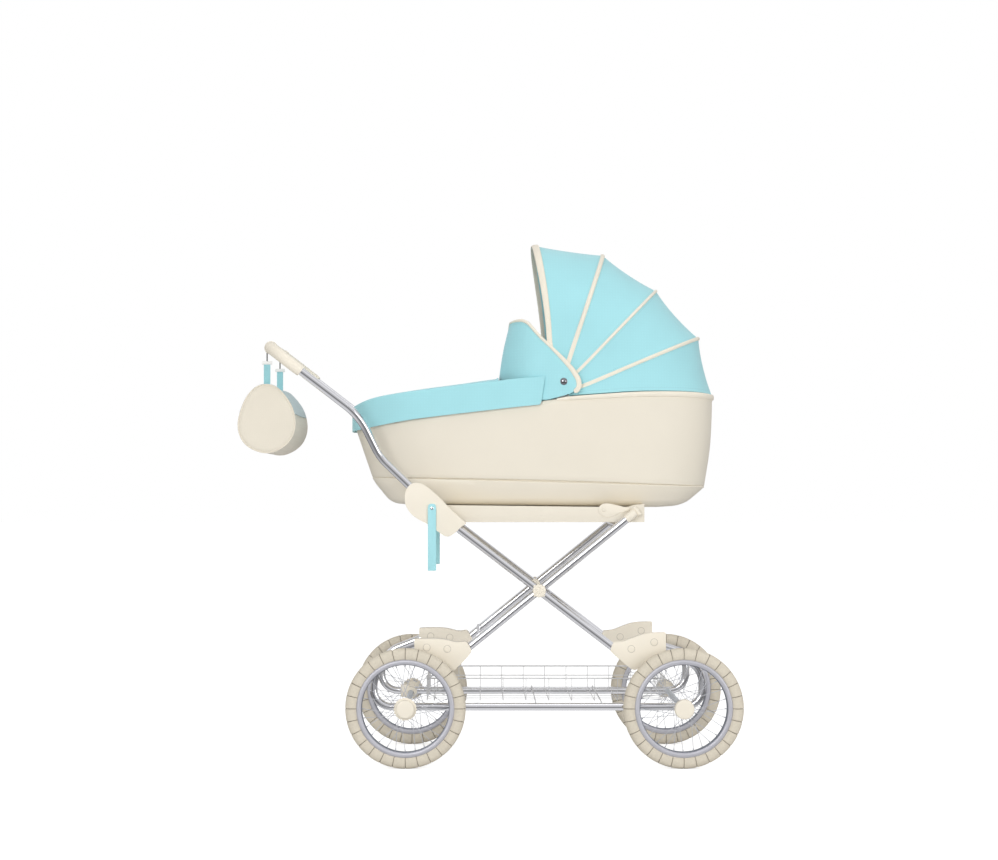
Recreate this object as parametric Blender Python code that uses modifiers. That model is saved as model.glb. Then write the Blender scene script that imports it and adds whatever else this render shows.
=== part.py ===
"""Baby carriage: a carrycot with a folding hood, a wind flap and an apron, on a folding cross frame.

The frame stands on sprung tube loops with a wire basket and four spoked wheels. A tilting handle at the
rear carries a bag on two hooks.

Metres, +Z up. +X points to the hood end, -Y is the carriage's right-hand side and z = 0 is the ground.
Run with: blender --background --python part.py
"""

import math

import bmesh
import bpy
from mathutils import Matrix, Vector

# Clearances
GAP = 0.0003
PIN_GAP = 0.0003

# Wheels and axles
WHEEL_RADIUS = 0.145
REAR_AXLE_X = -0.200
FRONT_AXLE_X = 0.4685
AXLE_RADIUS = 0.007
STUB_RADIUS = 0.005
WHEEL_STEPS = 36
TREAD_HALF = 0.013
TYRE_HALF = 0.020
TYRE_SHOULDER = 0.006
TYRE_DEPTH = 0.0272
BEAD_HALF = 0.0155
RIM_DEPTH = 0.0115
RIM_WELL_HALF = 0.006
RIM_FLANGE = 0.0045
SPOKE_COUNT = 20
SPOKE_RADIUS = 0.0011
HUB_FLANGE_RADIUS = 0.0205
HUB_FLANGE_SET = 0.010
HUB_FLANGE_THICKNESS = 0.004
HUB_BARREL_RADIUS = 0.012
HUB_CAP_RADIUS = 0.022
HUB_OUT = 0.036
HUB_RING_RADIUS = 0.028
HUB_RING_TEETH = 14

# Frame tubes, and the layers that they lie in, counted outwards from the centre plane
TUBE_RADIUS = 0.0095
TUBE_SIDES = 10
COT_SEAM_HALF = 0.2025
BASE_INSET = 0.0045
BASE_HALF = COT_SEAM_HALF - BASE_INSET
LATCH_THICKNESS = 0.002
PLATE_WALL = 0.0023
RISING_Y = BASE_HALF + GAP + LATCH_THICKNESS + GAP + TUBE_RADIUS
FRONT_INNER_Y = RISING_Y + TUBE_RADIUS + GAP
SPRING_Y = FRONT_INNER_Y + PLATE_WALL + GAP + TUBE_RADIUS
BRACKET_OUT_INNER_Y = SPRING_Y + TUBE_RADIUS + GAP
BRACKET_OUTER_Y = BRACKET_OUT_INNER_Y + 0.0025
REAR_WALL_OUTER_Y = RISING_Y - TUBE_RADIUS - GAP
REAR_WALL_INNER_Y = REAR_WALL_OUTER_Y - 0.0025
BRACKET_WEB = 0.003
TYRE_GAP = 0.0135
TRACK_HALF = SPRING_Y + TUBE_RADIUS + TYRE_GAP + TYRE_HALF
AXLE_END_Y = TRACK_HALF + 0.0255

# Cross frame, as (x, z)
REAR_PIVOT = Vector((-0.100, 0.2855))
FRONT_PIVOT = Vector((0.345, 0.2855))
CROSS = Vector((0.1225, 0.4260))
FALL_ANGLE = math.radians(-37.56)
RISE_ANGLE = math.radians(39.04)
FALL_UPPER_REACH = 0.2933
FALL_LOWER_REACH = 0.2365
RISE_UPPER_REACH = 0.3026
RISE_LOWER_REACH = 0.2478
PIN_RADIUS = 0.004
KNUCKLE_RADIUS = 0.011
KNUCKLE_HALF = 0.003
HOOK_RADIUS = 0.0048
HOOK_HALF = 0.0085
HOOK_OFFSET = 0.0045
BOLT_OUTER_RADIUS = 0.016
BOLT_OUTER_THICKNESS = 0.0052
BOLT_INNER_RADIUS = 0.0125
BOLT_INNER_THICKNESS = 0.0035
SUPPORT_RADIUS = 0.008
REAR_SUPPORT_DOWN = 0.0479
REAR_SUPPORT_X = CROSS.x - math.cos(FALL_ANGLE) * (FALL_UPPER_REACH - REAR_SUPPORT_DOWN)
FRONT_SUPPORT_DOWN = 0.0532
FRONT_SUPPORT_X = CROSS.x + math.cos(RISE_ANGLE) * (RISE_UPPER_REACH - FRONT_SUPPORT_DOWN)
TIE_RADIUS = 0.0045
TIE_ALONG = -0.1836
TIE_ABOVE = 0.0078

# Spring loops, as (x, z), with a fillet radius for each corner
RAIL_Z = WHEEL_RADIUS
REAR_LOOP_TOP_Z = 0.2955
REAR_LOOP_END_X = -0.130
REAR_LOOP_X = -0.2785
REAR_LOOP_TOP_FILLET = 0.080
LOOP_FOOT_FILLET = 0.050
RAIL_SEAM_X = 0.311
SPIGOT_LENGTH = 0.150
SPIGOT_RADIUS = 0.0078
RAIL_BORE_RADIUS = 0.0081
RAIL_BORE_DEPTH = 0.155
FRONT_LOOP_X = 0.5235
FRONT_LOOP_TOP_Z = 0.285
FRONT_LOOP_TOP_FILLET = 0.060
FRONT_LOOP_NECK = Vector((0.4298, 0.3113))
FRONT_LOOP_END = Vector((0.392, 0.3118))
FRONT_NECK_FILLET = 0.050
FILLET_STEPS = 6

# Bracket outlines, as (x, z)
REAR_BRACKET = (
    (-0.180, 0.3085), (-0.161, 0.3097), (-0.115, 0.3097), (-0.0953, 0.3051), (-0.0769, 0.300),
    (-0.0559, 0.3032), (-0.0494, 0.2966), (-0.0409, 0.2821), (-0.0455, 0.2717), (-0.0665, 0.2495),
    (-0.0849, 0.2323), (-0.1792, 0.2862),
)
FRONT_BRACKET = (
    (0.2941, 0.2809), (0.2995, 0.300), (0.3256, 0.3034), (0.3705, 0.3191), (0.4288, 0.3261),
    (0.4288, 0.2947), (0.3463, 0.2377), (0.3152, 0.2585),
)
REAR_WEB_TOP = REAR_BRACKET[:6]
FRONT_WEB_TOP = FRONT_BRACKET[2:4]
RIVET_RADIUS = 0.006
RIVET_RISE = 0.0008
REAR_RIVET = (-0.1497, 0.2889)
FRONT_RIVET = (0.4002, 0.3017)

# Wire basket
BASKET_REAR_X = -0.150
BASKET_FRONT_X = 0.430
BASKET_INSET = 0.032
BASKET_HALF = SPRING_Y - BASKET_INSET
BASKET_TOP_Z = 0.211
BASKET_COLUMNS = 11
BASKET_ROWS = 4
BASKET_WIRE = 0.0024
BASKET_ROD = 0.003
BASKET_ROD_PAST_RAIL = 0.004
BASKET_ROD_HALF = SPRING_Y + BASKET_ROD_PAST_RAIL
BASKET_ROD_COLUMNS = (1, 5, 8)

# Brake
BRAKE_BARREL_RADIUS = 0.015
BRAKE_WIDTH = 0.035
BRAKE_SIDE_GAP = 0.0078
BRAKE_OUTER_Y = REAR_WALL_INNER_Y - BRAKE_SIDE_GAP
BRAKE_INNER_Y = BRAKE_OUTER_Y - BRAKE_WIDTH
BRAKE_PAD_REACH = 0.026
BRAKE_PAD_HALF = 0.0145

# Handle, as (x, y, z) on the left-hand side, and the housing that it turns in
HANDLE_PIVOT = Vector((-0.160, 0.650))
HANDLE_RADIUS = 0.010
HANDLE_Y = SPRING_Y + 0.0015
HANDLE_LOW = (-0.2635, 0.7498)
HANDLE_BEND = (-0.3124, 0.8486)
HANDLE_BEND_Y = HANDLE_Y + 0.0165
HANDLE_BAR = Vector((-0.5313, 1.017))
HANDLE_BAR_Y = HANDLE_Y + 0.0615
HANDLE_LOW_FILLET = 0.120
HANDLE_BEND_FILLET = 0.180
HANDLE_CORNER_FILLET = 0.090
HANDLE_STUB = 0.012
GRIP_RADIUS = 0.0145
GRIP_END_RADIUS = 0.0125
GRIP_BORE_GAP = 0.0006
GRIP_SIDE_LENGTH = 0.003
HANDLE_FORWARD = math.radians(10)
HANDLE_BACK = math.radians(40)
SLOT_RADIUS = 0.016
HOUSING_BORE = 0.120
HOUSING_OUTER_Y = HANDLE_Y + HANDLE_RADIUS + 0.004
HOUSING = (
    (-0.1844, 0.6875), (-0.167, 0.687), (-0.1499, 0.6783), (-0.1276, 0.6604), (-0.103, 0.6346),
    (-0.0783, 0.6099), (-0.0537, 0.5889), (-0.066, 0.5817), (-0.0771, 0.5694), (-0.0979, 0.5551),
    (-0.1153, 0.5643), (-0.1472, 0.5877), (-0.167, 0.5976), (-0.1856, 0.6099), (-0.1996, 0.6298),
    (-0.2028, 0.6469), (-0.2016, 0.6643), (-0.1953, 0.6766),
)

# Release levers
LEVER_PIVOT = Vector((-0.1368, 0.6259))
LEVER_TOP_Z = LEVER_PIVOT.y + 0.0099
LEVER_BOTTOM_Z = 0.4754
LEVER_HALF = 0.010
LEVER_THICKNESS = 0.004
LEVER_PIN_RADIUS = 0.0025
LEVER_HEAD_RADIUS = 0.004

# Bag and its hangers
BAG_SIDE_GAP = 0.095
BAG_HALF = HANDLE_BAR_Y - BAG_SIDE_GAP
BAG = (
    (-0.5885, 0.9013), (-0.6036, 0.8681), (-0.6134, 0.8282), (-0.6036, 0.7916), (-0.5805, 0.7698),
    (-0.5423, 0.7585), (-0.5079, 0.7686), (-0.4809, 0.7916), (-0.4689, 0.8282), (-0.4769, 0.8708),
    (-0.4967, 0.9013), (-0.5290, 0.9272), (-0.5560, 0.9272),
)
BAG_EDGE = 0.012
HANGER_INSET = 0.016
HANGER_Y = BAG_HALF - HANGER_INSET
HANGER_X = -0.541
RING_WALL = 0.003
RING_WIDTH = 0.005
STEM_RADIUS = 0.0015
CLIP_TOP_Z = 0.9836
STRAP_TOP_Z = 0.9768
CLIP_HALF = 0.012
STRAP_HALF = 0.008
STRAP_THICKNESS = 0.003

# Carrycot: end curves as (share of the way up the wall, x), side curve as (share, half width)
COT_STEPS = 40
COT_CORNER = 3.0
SHELL_WALL = 0.008
SHELL_REAR = ((0.0, -0.2908), (0.35, -0.3052), (0.7, -0.3192), (1.0, -0.3310))
SHELL_FRONT = ((0.0, 0.5412), (0.42, 0.5553), (0.76, 0.5600), (1.0, 0.5610))
SHELL_SIDE = ((0.0, COT_SEAM_HALF), (0.5, COT_SEAM_HALF + 0.006), (1.0, COT_SEAM_HALF + 0.010))
RIM_LINE = (
    (-0.336, 0.822), (-0.200, 0.843), (0.0, 0.869), (0.1687, 0.891), (0.280, 0.899),
    (0.382, 0.9048), (0.503, 0.9048), (0.566, 0.900),
)
SEAM_LINE = ((-0.2908, 0.7012), (0.1737, 0.6927), (0.5412, 0.6793))
ROLL_OUT = 0.005
ROLL_RISE = 0.006
# Tub levels below the seam: rear (x, z), front (x, z), half width, wall inwards, floor upwards
TUB_LEVELS = (
    ((-0.2681, 0.6679), (0.5250, 0.6640), COT_SEAM_HALF - 0.0105, 0.0065, 0.0020),
    ((-0.2505, 0.6485), (0.4980, 0.6420), COT_SEAM_HALF - 0.0245, 0.0055, 0.0045),
    ((-0.2255, 0.6361), (0.4618, 0.6300), COT_SEAM_HALF - 0.0475, 0.0030, 0.0060),
    ((-0.2114, 0.6344), (0.4265, 0.6273), COT_SEAM_HALF - 0.0675, 0.0000, 0.0060),
)
TUB_RIM_WALL = 0.006
BASE_REAR_X = -0.1080
BASE_FRONT_X = 0.3799
BASE_BOTTOM_Z = 0.5914
BASE_WALL = 0.003
BASE_TOP_WALL = 0.005
LATCH_PIVOT = Vector((0.2802, 0.622))
LATCH_PIN_RADIUS = 0.0025
LATCH_HEAD = 0.0014
LATCH = (
    (0.2690, 0.6150), (0.2690, 0.6280), (0.2760, 0.6350), (0.2897, 0.6375), (0.3120, 0.6324),
    (0.3422, 0.6254), (0.3440, 0.6200), (0.3180, 0.6130), (0.2919, 0.6020), (0.2760, 0.6085),
)
# Mattress levels: rear x, front x, half width, height over the tub floor
MATTRESS_LEVELS = (
    (-0.205, 0.415, 0.128, 0.0), (-0.232, 0.445, 0.152, 0.016), (-0.236, 0.462, 0.162, 0.030),
    (-0.228, 0.452, 0.154, 0.040), (-0.180, 0.400, 0.110, 0.045),
)

# Apron over the foot end
APRON_GAP = 0.0005
APRON_THICKNESS = 0.0035
APRON_TOP_MID = (
    (-0.345, 0.887), (-0.3034, 0.9041), (-0.2328, 0.9167), (-0.0916, 0.9344), (0.0294, 0.9485),
)
APRON_TOP_SIDE = (
    (-0.345, 0.874), (-0.293, 0.8935), (-0.225, 0.9060), (-0.0889, 0.9230), (0.0277, 0.9370),
    (0.1371, 0.9455),
)
APRON_HEM = (
    (-0.345, 0.8141), (-0.2891, 0.8243), (-0.1908, 0.8413), (-0.0209, 0.8616), (0.1371, 0.8795),
)
APRON_TOP_END_X = 0.022
APRON_SIDE_END_X = 0.1300
APRON_RINGS = (0.93, 0.70, 0.40)

# Wind flap
FLAP_HINGE = Vector((0.0310, 0.9500))
FLAP_THICKNESS = 0.002
FLAP_GAP = 0.0008
FLAP_FRONT_X = 0.0291
FLAP_CORNER = 0.100
FLAP_LEAN = 0.187
FLAP_BASE_Z = 0.9516
FLAP_TOP = (
    (0.0291, 1.0973), (0.060, 1.0993), (0.0900, 1.0860), (0.1200, 1.0520), (0.1485, 1.0195),
    (0.1969, 0.9753), (0.2150, 0.9490), (0.2215, 0.9330),
)
FLAP_BOTTOM = (
    (0.0291, 0.9516), (0.060, 0.9250), (0.1000, 0.8985), (0.1283, 0.8922), (0.1726, 0.8983),
    (0.2050, 0.9062), (0.2215, 0.9150),
)
FLAP_LOBE_X = (0.2215, 0.2150, 0.1969, 0.1726, 0.1485)
FLAP_ROWS = 4
STUD_RADIUS = 0.0075
STUD_RISE = 0.0032

# Hood: bows fan out round one axis; angles from +X towards +Z
HOOD_PIVOT = Vector((0.1828, 0.9337))
HOOD_PIN_RADIUS = 0.0025
BOW_THICKNESS = 0.003
BOW_WIDTH = 0.009
BOW_LAYER_GAP = 0.0004
BOW_FIRST_GAP = 0.0005
BOW_LEG = 0.100
BOW_TAIL = 0.007
BOW_POWER = 2.4
BOW_STEPS = 16
HINGE_PLATE_INNER_Y = COT_SEAM_HALF - 0.006
HINGE_PLATE_THICKNESS = 0.003
HINGE_PLATE_HALF = 0.015
HINGE_PLATE_DROP = 0.070
BOWS = (
    ("hood_rib_3", 18.8, 0.366), ("hood_rib_2", 44.7, 0.336), ("hood_rib_1", 71.7, 0.344),
    ("front_bow", 99.9, 0.359),
)
HOOD_BASE_REACH = 0.378
HOOD_BASE_HALF = COT_SEAM_HALF + 0.006
PANEL_START = 0.050
PANEL_THICKNESS = 0.0016
PANEL_GAP = 0.0010
PANEL_RIM_GAP = 0.0016
PANEL_SAG = (0.0106, 0.0100, 0.0074, 0.0050)
PANEL_COLUMNS = 4

CREAM = (0.84, 0.78, 0.66, 1.0)
LIGHT_CREAM = (0.91, 0.86, 0.75, 1.0)
CYAN = (0.40, 0.75, 0.81, 1.0)
CHROME = (0.80, 0.80, 0.82, 1.0)
TYRE = (0.68, 0.63, 0.53, 1.0)
WIRE = (0.78, 0.78, 0.78, 1.0)
DARK = (0.10, 0.10, 0.11, 1.0)
WHITE = (0.90, 0.90, 0.88, 1.0)


def clear_scene():
    for obj in list(bpy.data.objects):
        bpy.data.objects.remove(obj, do_unlink=True)


def collection(name):
    found = bpy.data.collections.new(name)
    bpy.context.scene.collection.children.link(found)
    return found


def material(name, colour, roughness, metallic=0.0):
    made = bpy.data.materials.new(name)
    made.use_nodes = True
    shader = made.node_tree.nodes["Principled BSDF"]
    shader.inputs["Base Color"].default_value = colour
    shader.inputs["Roughness"].default_value = roughness
    shader.inputs["Metallic"].default_value = metallic
    made.diffuse_color = colour
    return made


def add_object(name, data, look):
    obj = bpy.data.objects.new(name, data)
    parts.objects.link(obj)
    if look is not None:
        data.materials.append(look)
    return obj


def joint(name, place, parent=None):
    """An empty on a joint's axis. Every object keeps world coordinates under it."""
    empty = bpy.data.objects.new(name, None)
    parts.objects.link(empty)
    empty.empty_display_size = 0.03
    empty.location = place
    if parent is not None:
        attach(empty, parent)
    return empty


def attach(obj, parent):
    obj.parent = parent
    obj.matrix_parent_inverse = Matrix.Translation(-Vector(parent.location))
    return obj


def between(line, x):
    """The value at x on a line of (x, value) points."""
    for (x0, v0), (x1, v1) in zip(line, line[1:]):
        if x <= x1:
            break
    share = min(max((x - x0) / (x1 - x0), 0.0), 1.0)
    return v0 + share * (v1 - v0)


def direction(angle):
    return Vector((math.cos(angle), math.sin(angle)))


def superellipse(turn, power):
    """The point at an angle round a unit square with round corners."""
    c = math.cos(turn)
    s = math.sin(turn)
    return math.copysign(abs(c) ** (2 / power), c), math.copysign(abs(s) ** (2 / power), s)


def rounded_path(corners, fillets):
    """The polyline through the corners, with an arc of its fillet radius at each inner corner."""
    points = [Vector(corners[0])]
    for before, corner, after, radius in zip(corners, corners[1:], corners[2:], fillets):
        corner = Vector(corner)
        back = (Vector(before) - corner).normalized()
        onward = (Vector(after) - corner).normalized()
        half = back.angle(onward) / 2
        centre = corner + (back + onward).normalized() * radius / math.sin(half)
        start = corner + back * radius / math.tan(half) - centre
        end = corner + onward * radius / math.tan(half) - centre
        sweep = start.angle(end)
        for step in range(FILLET_STEPS + 1):
            share = step / FILLET_STEPS
            arc = start * math.sin((1 - share) * sweep) + end * math.sin(share * sweep)
            points.append(centre + arc / math.sin(sweep))
    points.append(Vector(corners[-1]))
    return points


def tube(name, points, radius, look, scales=None, sides=TUBE_SIDES):
    """A round bar along a polyline, with filled ends."""
    curve = bpy.data.curves.new(name, "CURVE")
    curve.dimensions = "3D"
    curve.bevel_depth = radius
    curve.bevel_resolution = (sides - 4) // 2
    curve.use_fill_caps = True
    spline = curve.splines.new("POLY")
    spline.points.add(len(points) - 1)
    for index, point in enumerate(points):
        spline.points[index].co = (*point, 1.0)
        spline.points[index].radius = scales[index] if scales else 1.0
    return add_object(name, curve, look)


def plate(name, outline, inner_y, outer_y, side, look):
    """A flat outline of (x, z) points, as thick as the space from inner_y to outer_y on one side."""
    curve = bpy.data.curves.new(name, "CURVE")
    curve.dimensions = "2D"
    curve.fill_mode = "BOTH"
    curve.extrude = (outer_y - inner_y) / 2
    spline = curve.splines.new("POLY")
    spline.points.add(len(outline) - 1)
    for index, (x, z) in enumerate(outline):
        spline.points[index].co = (x, z, 0.0, 1.0)
    spline.use_cyclic_u = True
    obj = add_object(name, curve, look)
    obj.rotation_euler = (math.pi / 2, 0.0, 0.0)
    obj.location = (0.0, side * (inner_y + outer_y) / 2, 0.0)
    return obj


def bar_across(name, radius, start_y, end_y, place, look=None, steps=16):
    """A cylinder along Y from start_y to end_y, through the (x, z) place."""
    mesh = bpy.data.meshes.new(name)
    shape = bmesh.new()
    bmesh.ops.create_cone(
        shape, cap_ends=True, segments=steps, radius1=radius, radius2=radius, depth=abs(end_y - start_y)
    )
    bmesh.ops.rotate(shape, matrix=Matrix.Rotation(math.pi / 2, 3, "X"), verts=shape.verts)
    shape.to_mesh(mesh)
    shape.free()
    obj = add_object(name, mesh, look)
    obj.location = (place[0], (start_y + end_y) / 2, place[1])
    return obj


def box(name, low, high, look=None):
    mesh = bpy.data.meshes.new(name)
    shape = bmesh.new()
    bmesh.ops.create_cube(shape, size=1.0)
    size = Vector(high) - Vector(low)
    bmesh.ops.scale(shape, vec=size, verts=shape.verts)
    shape.to_mesh(mesh)
    shape.free()
    obj = add_object(name, mesh, look)
    obj.location = (Vector(low) + Vector(high)) / 2
    return obj


def turned(name, profile, place, side, look, steps, ring=False):
    """A (radius, outward) profile turned round Y at place, with a facet facing down.

    The profile runs outwards on its outer side.
    """
    half_step = math.pi / steps
    mesh = bpy.data.meshes.new(name)
    points = [
        (radius * math.cos(half_step), radius * math.sin(half_step), outward)
        for radius, outward in reversed(profile)
    ]
    edges = [(index, index + 1) for index in range(len(points) - 1)]
    if ring:
        edges.append((len(points) - 1, 0))
    mesh.from_pydata(points, edges, [])
    obj = add_object(name, mesh, look)
    screw = obj.modifiers.new("Turn", "SCREW")
    screw.steps = steps
    screw.render_steps = steps
    screw.use_merge_vertices = True
    screw.merge_threshold = 0.00001
    obj.rotation_euler = (-side * math.pi / 2, 0.0, 0.0)
    obj.location = place
    return obj


def as_mesh(obj):
    """The object with its curve or modifiers made into one welded mesh, ready to be cut or joined."""
    bpy.context.view_layer.update()
    graph = bpy.context.evaluated_depsgraph_get()
    mesh = bpy.data.meshes.new_from_object(obj.evaluated_get(graph))
    shape = bmesh.new()
    shape.from_mesh(mesh)
    bmesh.ops.remove_doubles(shape, verts=shape.verts, dist=0.00001)
    bmesh.ops.recalc_face_normals(shape, faces=shape.faces)
    shape.to_mesh(mesh)
    shape.free()
    name = obj.name
    matrix = obj.matrix_world.copy()
    looks = [slot.material for slot in obj.material_slots]
    bpy.data.objects.remove(obj, do_unlink=True)
    made = bpy.data.objects.new(name, mesh)
    parts.objects.link(made)
    made.matrix_world = matrix
    if looks and not mesh.materials:
        mesh.materials.append(looks[0])
    return made


def combine(body, tool, operation):
    """Joins or cuts a mesh with another, which then goes to the cutters."""
    if tool.type != "MESH":
        tool = as_mesh(tool)
    parts.objects.unlink(tool)
    cutters.objects.link(tool)
    tool.name = f"{body.name}_{operation.lower()}_{len(body.modifiers)}"
    tool.hide_render = True
    tool.display_type = "WIRE"
    modifier = body.modifiers.new(tool.name, "BOOLEAN")
    modifier.operation = operation
    modifier.object = tool
    return body


def fuse(body, *tools):
    for tool in tools:
        combine(body, tool, "UNION")
    return body


def cut(body, *tools):
    for tool in tools:
        combine(body, tool, "DIFFERENCE")
    return body


def loft(name, rings, look, closed=False):
    """Quads between rings of equally many points: a closed tunnel, or a body with both ends filled."""
    mesh = bpy.data.meshes.new(name)
    shape = bmesh.new()
    rows = [[shape.verts.new(point) for point in ring] for ring in rings]
    pairs = list(zip(rows, rows[1:]))
    if closed:
        pairs.append((rows[-1], rows[0]))
    else:
        shape.faces.new(rows[0])
        shape.faces.new(rows[-1])
    for lower, upper in pairs:
        for index in range(len(lower)):
            onward = (index + 1) % len(lower)
            shape.faces.new((lower[index], lower[onward], upper[onward], upper[index]))
    bmesh.ops.recalc_face_normals(shape, faces=shape.faces)
    shape.to_mesh(mesh)
    shape.free()
    return add_object(name, mesh, look)


def sheet(name, rows, thickness, look, outward):
    """An open surface through rows of points, thickened away from its outer side."""
    mesh = bpy.data.meshes.new(name)
    shape = bmesh.new()
    grid = [[shape.verts.new(point) for point in row] for row in rows]
    for lower, upper in zip(grid, grid[1:]):
        for index in range(len(lower) - 1):
            shape.faces.new((lower[index], lower[index + 1], upper[index + 1], upper[index]))
    shape.normal_update()
    shape.faces.ensure_lookup_table()
    face = shape.faces[len(shape.faces) // 2]
    if face.normal.dot(outward(face.calc_center_median())) < 0:
        bmesh.ops.reverse_faces(shape, faces=shape.faces)
    shape.to_mesh(mesh)
    shape.free()
    obj = add_object(name, mesh, look)
    solid = obj.modifiers.new("Thickness", "SOLIDIFY")
    solid.thickness = thickness
    solid.offset = -1.0
    solid.use_even_offset = True
    return obj


def round_edges(obj, width, segments=2):
    weld = obj.modifiers.new("Weld", "WELD")
    weld.merge_threshold = 0.00001
    bevel = obj.modifiers.new("Bevel", "BEVEL")
    bevel.width = width
    bevel.segments = segments
    bevel.limit_method = "ANGLE"
    bevel.angle_limit = math.radians(50)
    return obj


def build_wheel(place_name, axle_x, side, side_name, carrier):
    """Tyre, rim with spokes, and hub of one wheel, on its own joint at the axle."""
    centre = Vector((axle_x, side * TRACK_HALF, WHEEL_RADIUS))
    axis = joint(f"{place_name}_wheel_{side_name}_axis", centre, carrier)
    corner = 1 / math.cos(math.pi / WHEEL_STEPS)
    seat = WHEEL_RADIUS - TYRE_DEPTH
    half_section = [
        (WHEEL_RADIUS, TREAD_HALF),
        (WHEEL_RADIUS - TYRE_SHOULDER, TYRE_HALF - 0.0015),
        (WHEEL_RADIUS - 0.0165, TYRE_HALF),
        (seat + 0.0017, BEAD_HALF + 0.002),
        (seat, BEAD_HALF),
    ]
    section = half_section + [(radius, -out) for radius, out in reversed(half_section)]
    tyre = turned(
        f"{place_name}_tyre_{side_name}",
        [(radius * corner, out) for radius, out in section],
        centre, side, looks["tyre"], WHEEL_STEPS, ring=True,
    )
    rim_outer = seat - GAP
    rim_half = BEAD_HALF - 0.001
    rim_section = [
        (rim_outer - RIM_DEPTH, RIM_WELL_HALF),
        (rim_outer - RIM_FLANGE, rim_half),
        (rim_outer, rim_half),
    ]
    rim_section += [(radius, -out) for radius, out in reversed(rim_section)]
    rim = turned(
        f"{place_name}_rim_{side_name}",
        [(radius * corner, out) for radius, out in rim_section],
        centre, side, looks["rim"], WHEEL_STEPS, ring=True,
    )
    rim = fuse(as_mesh(rim), spokes(centre, rim_outer - RIM_DEPTH / 2))
    hub_name = f"{place_name}_hub_{side_name}"
    hub = as_mesh(turned(hub_name, hub_profile(), centre, side, looks["cream"], 16))
    if place_name == "rear":
        fuse(hub, toothed_ring(centre, side))
    bore_ends = (side * (TRACK_HALF - 2 * HUB_OUT), side * (AXLE_END_Y + GAP))
    cut(hub, bar_across("bore", STUB_RADIUS + PIN_GAP, *bore_ends, (axle_x, WHEEL_RADIUS), steps=12))
    for piece in (tyre, rim, hub):
        attach(piece, axis)
    return axis


def hub_profile():
    """(radius, outward) from the inner end, over the barrel and flanges, to the middle of the cap."""
    inner_end = SPRING_Y + TUBE_RADIUS + 0.0015 - TRACK_HALF
    flange_in = HUB_FLANGE_SET - HUB_FLANGE_THICKNESS / 2
    flange_out = HUB_FLANGE_SET + HUB_FLANGE_THICKNESS / 2
    profile = [(0.0, inner_end)]
    profile += [(HUB_BARREL_RADIUS + 0.003, inner_end), (HUB_BARREL_RADIUS + 0.003, -0.016)]
    profile += [(HUB_FLANGE_RADIUS, -flange_out), (HUB_FLANGE_RADIUS, -flange_in)]
    profile += [(HUB_BARREL_RADIUS, -flange_in + 0.001), (HUB_BARREL_RADIUS, flange_in - 0.001)]
    profile += [(HUB_FLANGE_RADIUS, flange_in), (HUB_FLANGE_RADIUS, flange_out)]
    profile += [(HUB_CAP_RADIUS, flange_out + 0.003), (HUB_CAP_RADIUS, HUB_OUT - 0.003)]
    profile += [(HUB_CAP_RADIUS - 0.003, HUB_OUT), (0.0, HUB_OUT)]
    return profile


def toothed_ring(centre, side):
    """The ring of round teeth behind a rear hub's cap."""
    mesh = bpy.data.meshes.new("ring")
    shape = bmesh.new()
    steps = HUB_RING_TEETH * 2
    bmesh.ops.create_cone(
        shape, cap_ends=True, segments=steps, radius1=HUB_RING_RADIUS, radius2=HUB_RING_RADIUS, depth=0.006
    )
    for vert in shape.verts:
        if round(math.atan2(vert.co.y, vert.co.x) / (2 * math.pi) * steps) % 2:
            vert.co.xy *= 0.9
    bmesh.ops.rotate(shape, matrix=Matrix.Rotation(math.pi / 2, 3, "X"), verts=shape.verts)
    shape.to_mesh(mesh)
    shape.free()
    obj = add_object("ring", mesh, None)
    obj.location = centre + Vector((0.0, side * 0.0215, 0.0))
    return obj


def spokes(centre, outer_radius):
    """Straight wires from both hub flanges to the rim, as one mesh to join to it."""
    mesh = bpy.data.meshes.new("spokes")
    shape = bmesh.new()
    start_radius = HUB_FLANGE_RADIUS + 0.0005
    for index in range(SPOKE_COUNT):
        turn = 2 * math.pi * (index + 0.5) / SPOKE_COUNT
        out = HUB_FLANGE_SET if index % 2 else -HUB_FLANGE_SET
        ray = Vector((math.cos(turn), 0.0, math.sin(turn)))
        start = ray * start_radius + Vector((0.0, out, 0.0))
        end = ray * outer_radius
        along = end - start
        turned_to = along.to_track_quat("Z", "Y").to_matrix().to_4x4()
        place = Matrix.Translation((start + end) / 2) @ turned_to
        bmesh.ops.create_cone(
            shape, cap_ends=True, segments=4, radius1=SPOKE_RADIUS, radius2=SPOKE_RADIUS,
            depth=along.length, matrix=place,
        )
    shape.to_mesh(mesh)
    shape.free()
    obj = add_object("spokes", mesh, None)
    obj.location = centre
    return obj


def build_axle(name, axle_x, carrier):
    inner = SPRING_Y - TUBE_RADIUS - GAP
    axle = bar_across(name, AXLE_RADIUS, -inner, inner, (axle_x, WHEEL_RADIUS), looks["chrome"])
    stub = bar_across("stub", STUB_RADIUS, -AXLE_END_Y, AXLE_END_Y, (axle_x, WHEEL_RADIUS), steps=12)
    return attach(fuse(axle, stub), carrier)


def axle_hole(axle_x, side):
    radius = STUB_RADIUS + PIN_GAP
    start = side * (SPRING_Y - 2 * TUBE_RADIUS)
    end = side * (SPRING_Y + 2 * TUBE_RADIUS)
    return bar_across("axle_hole", radius, start, end, (axle_x, WHEEL_RADIUS), steps=12)


def in_plane(points, y):
    return [Vector((x, y, z)) for x, z in points]


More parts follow.
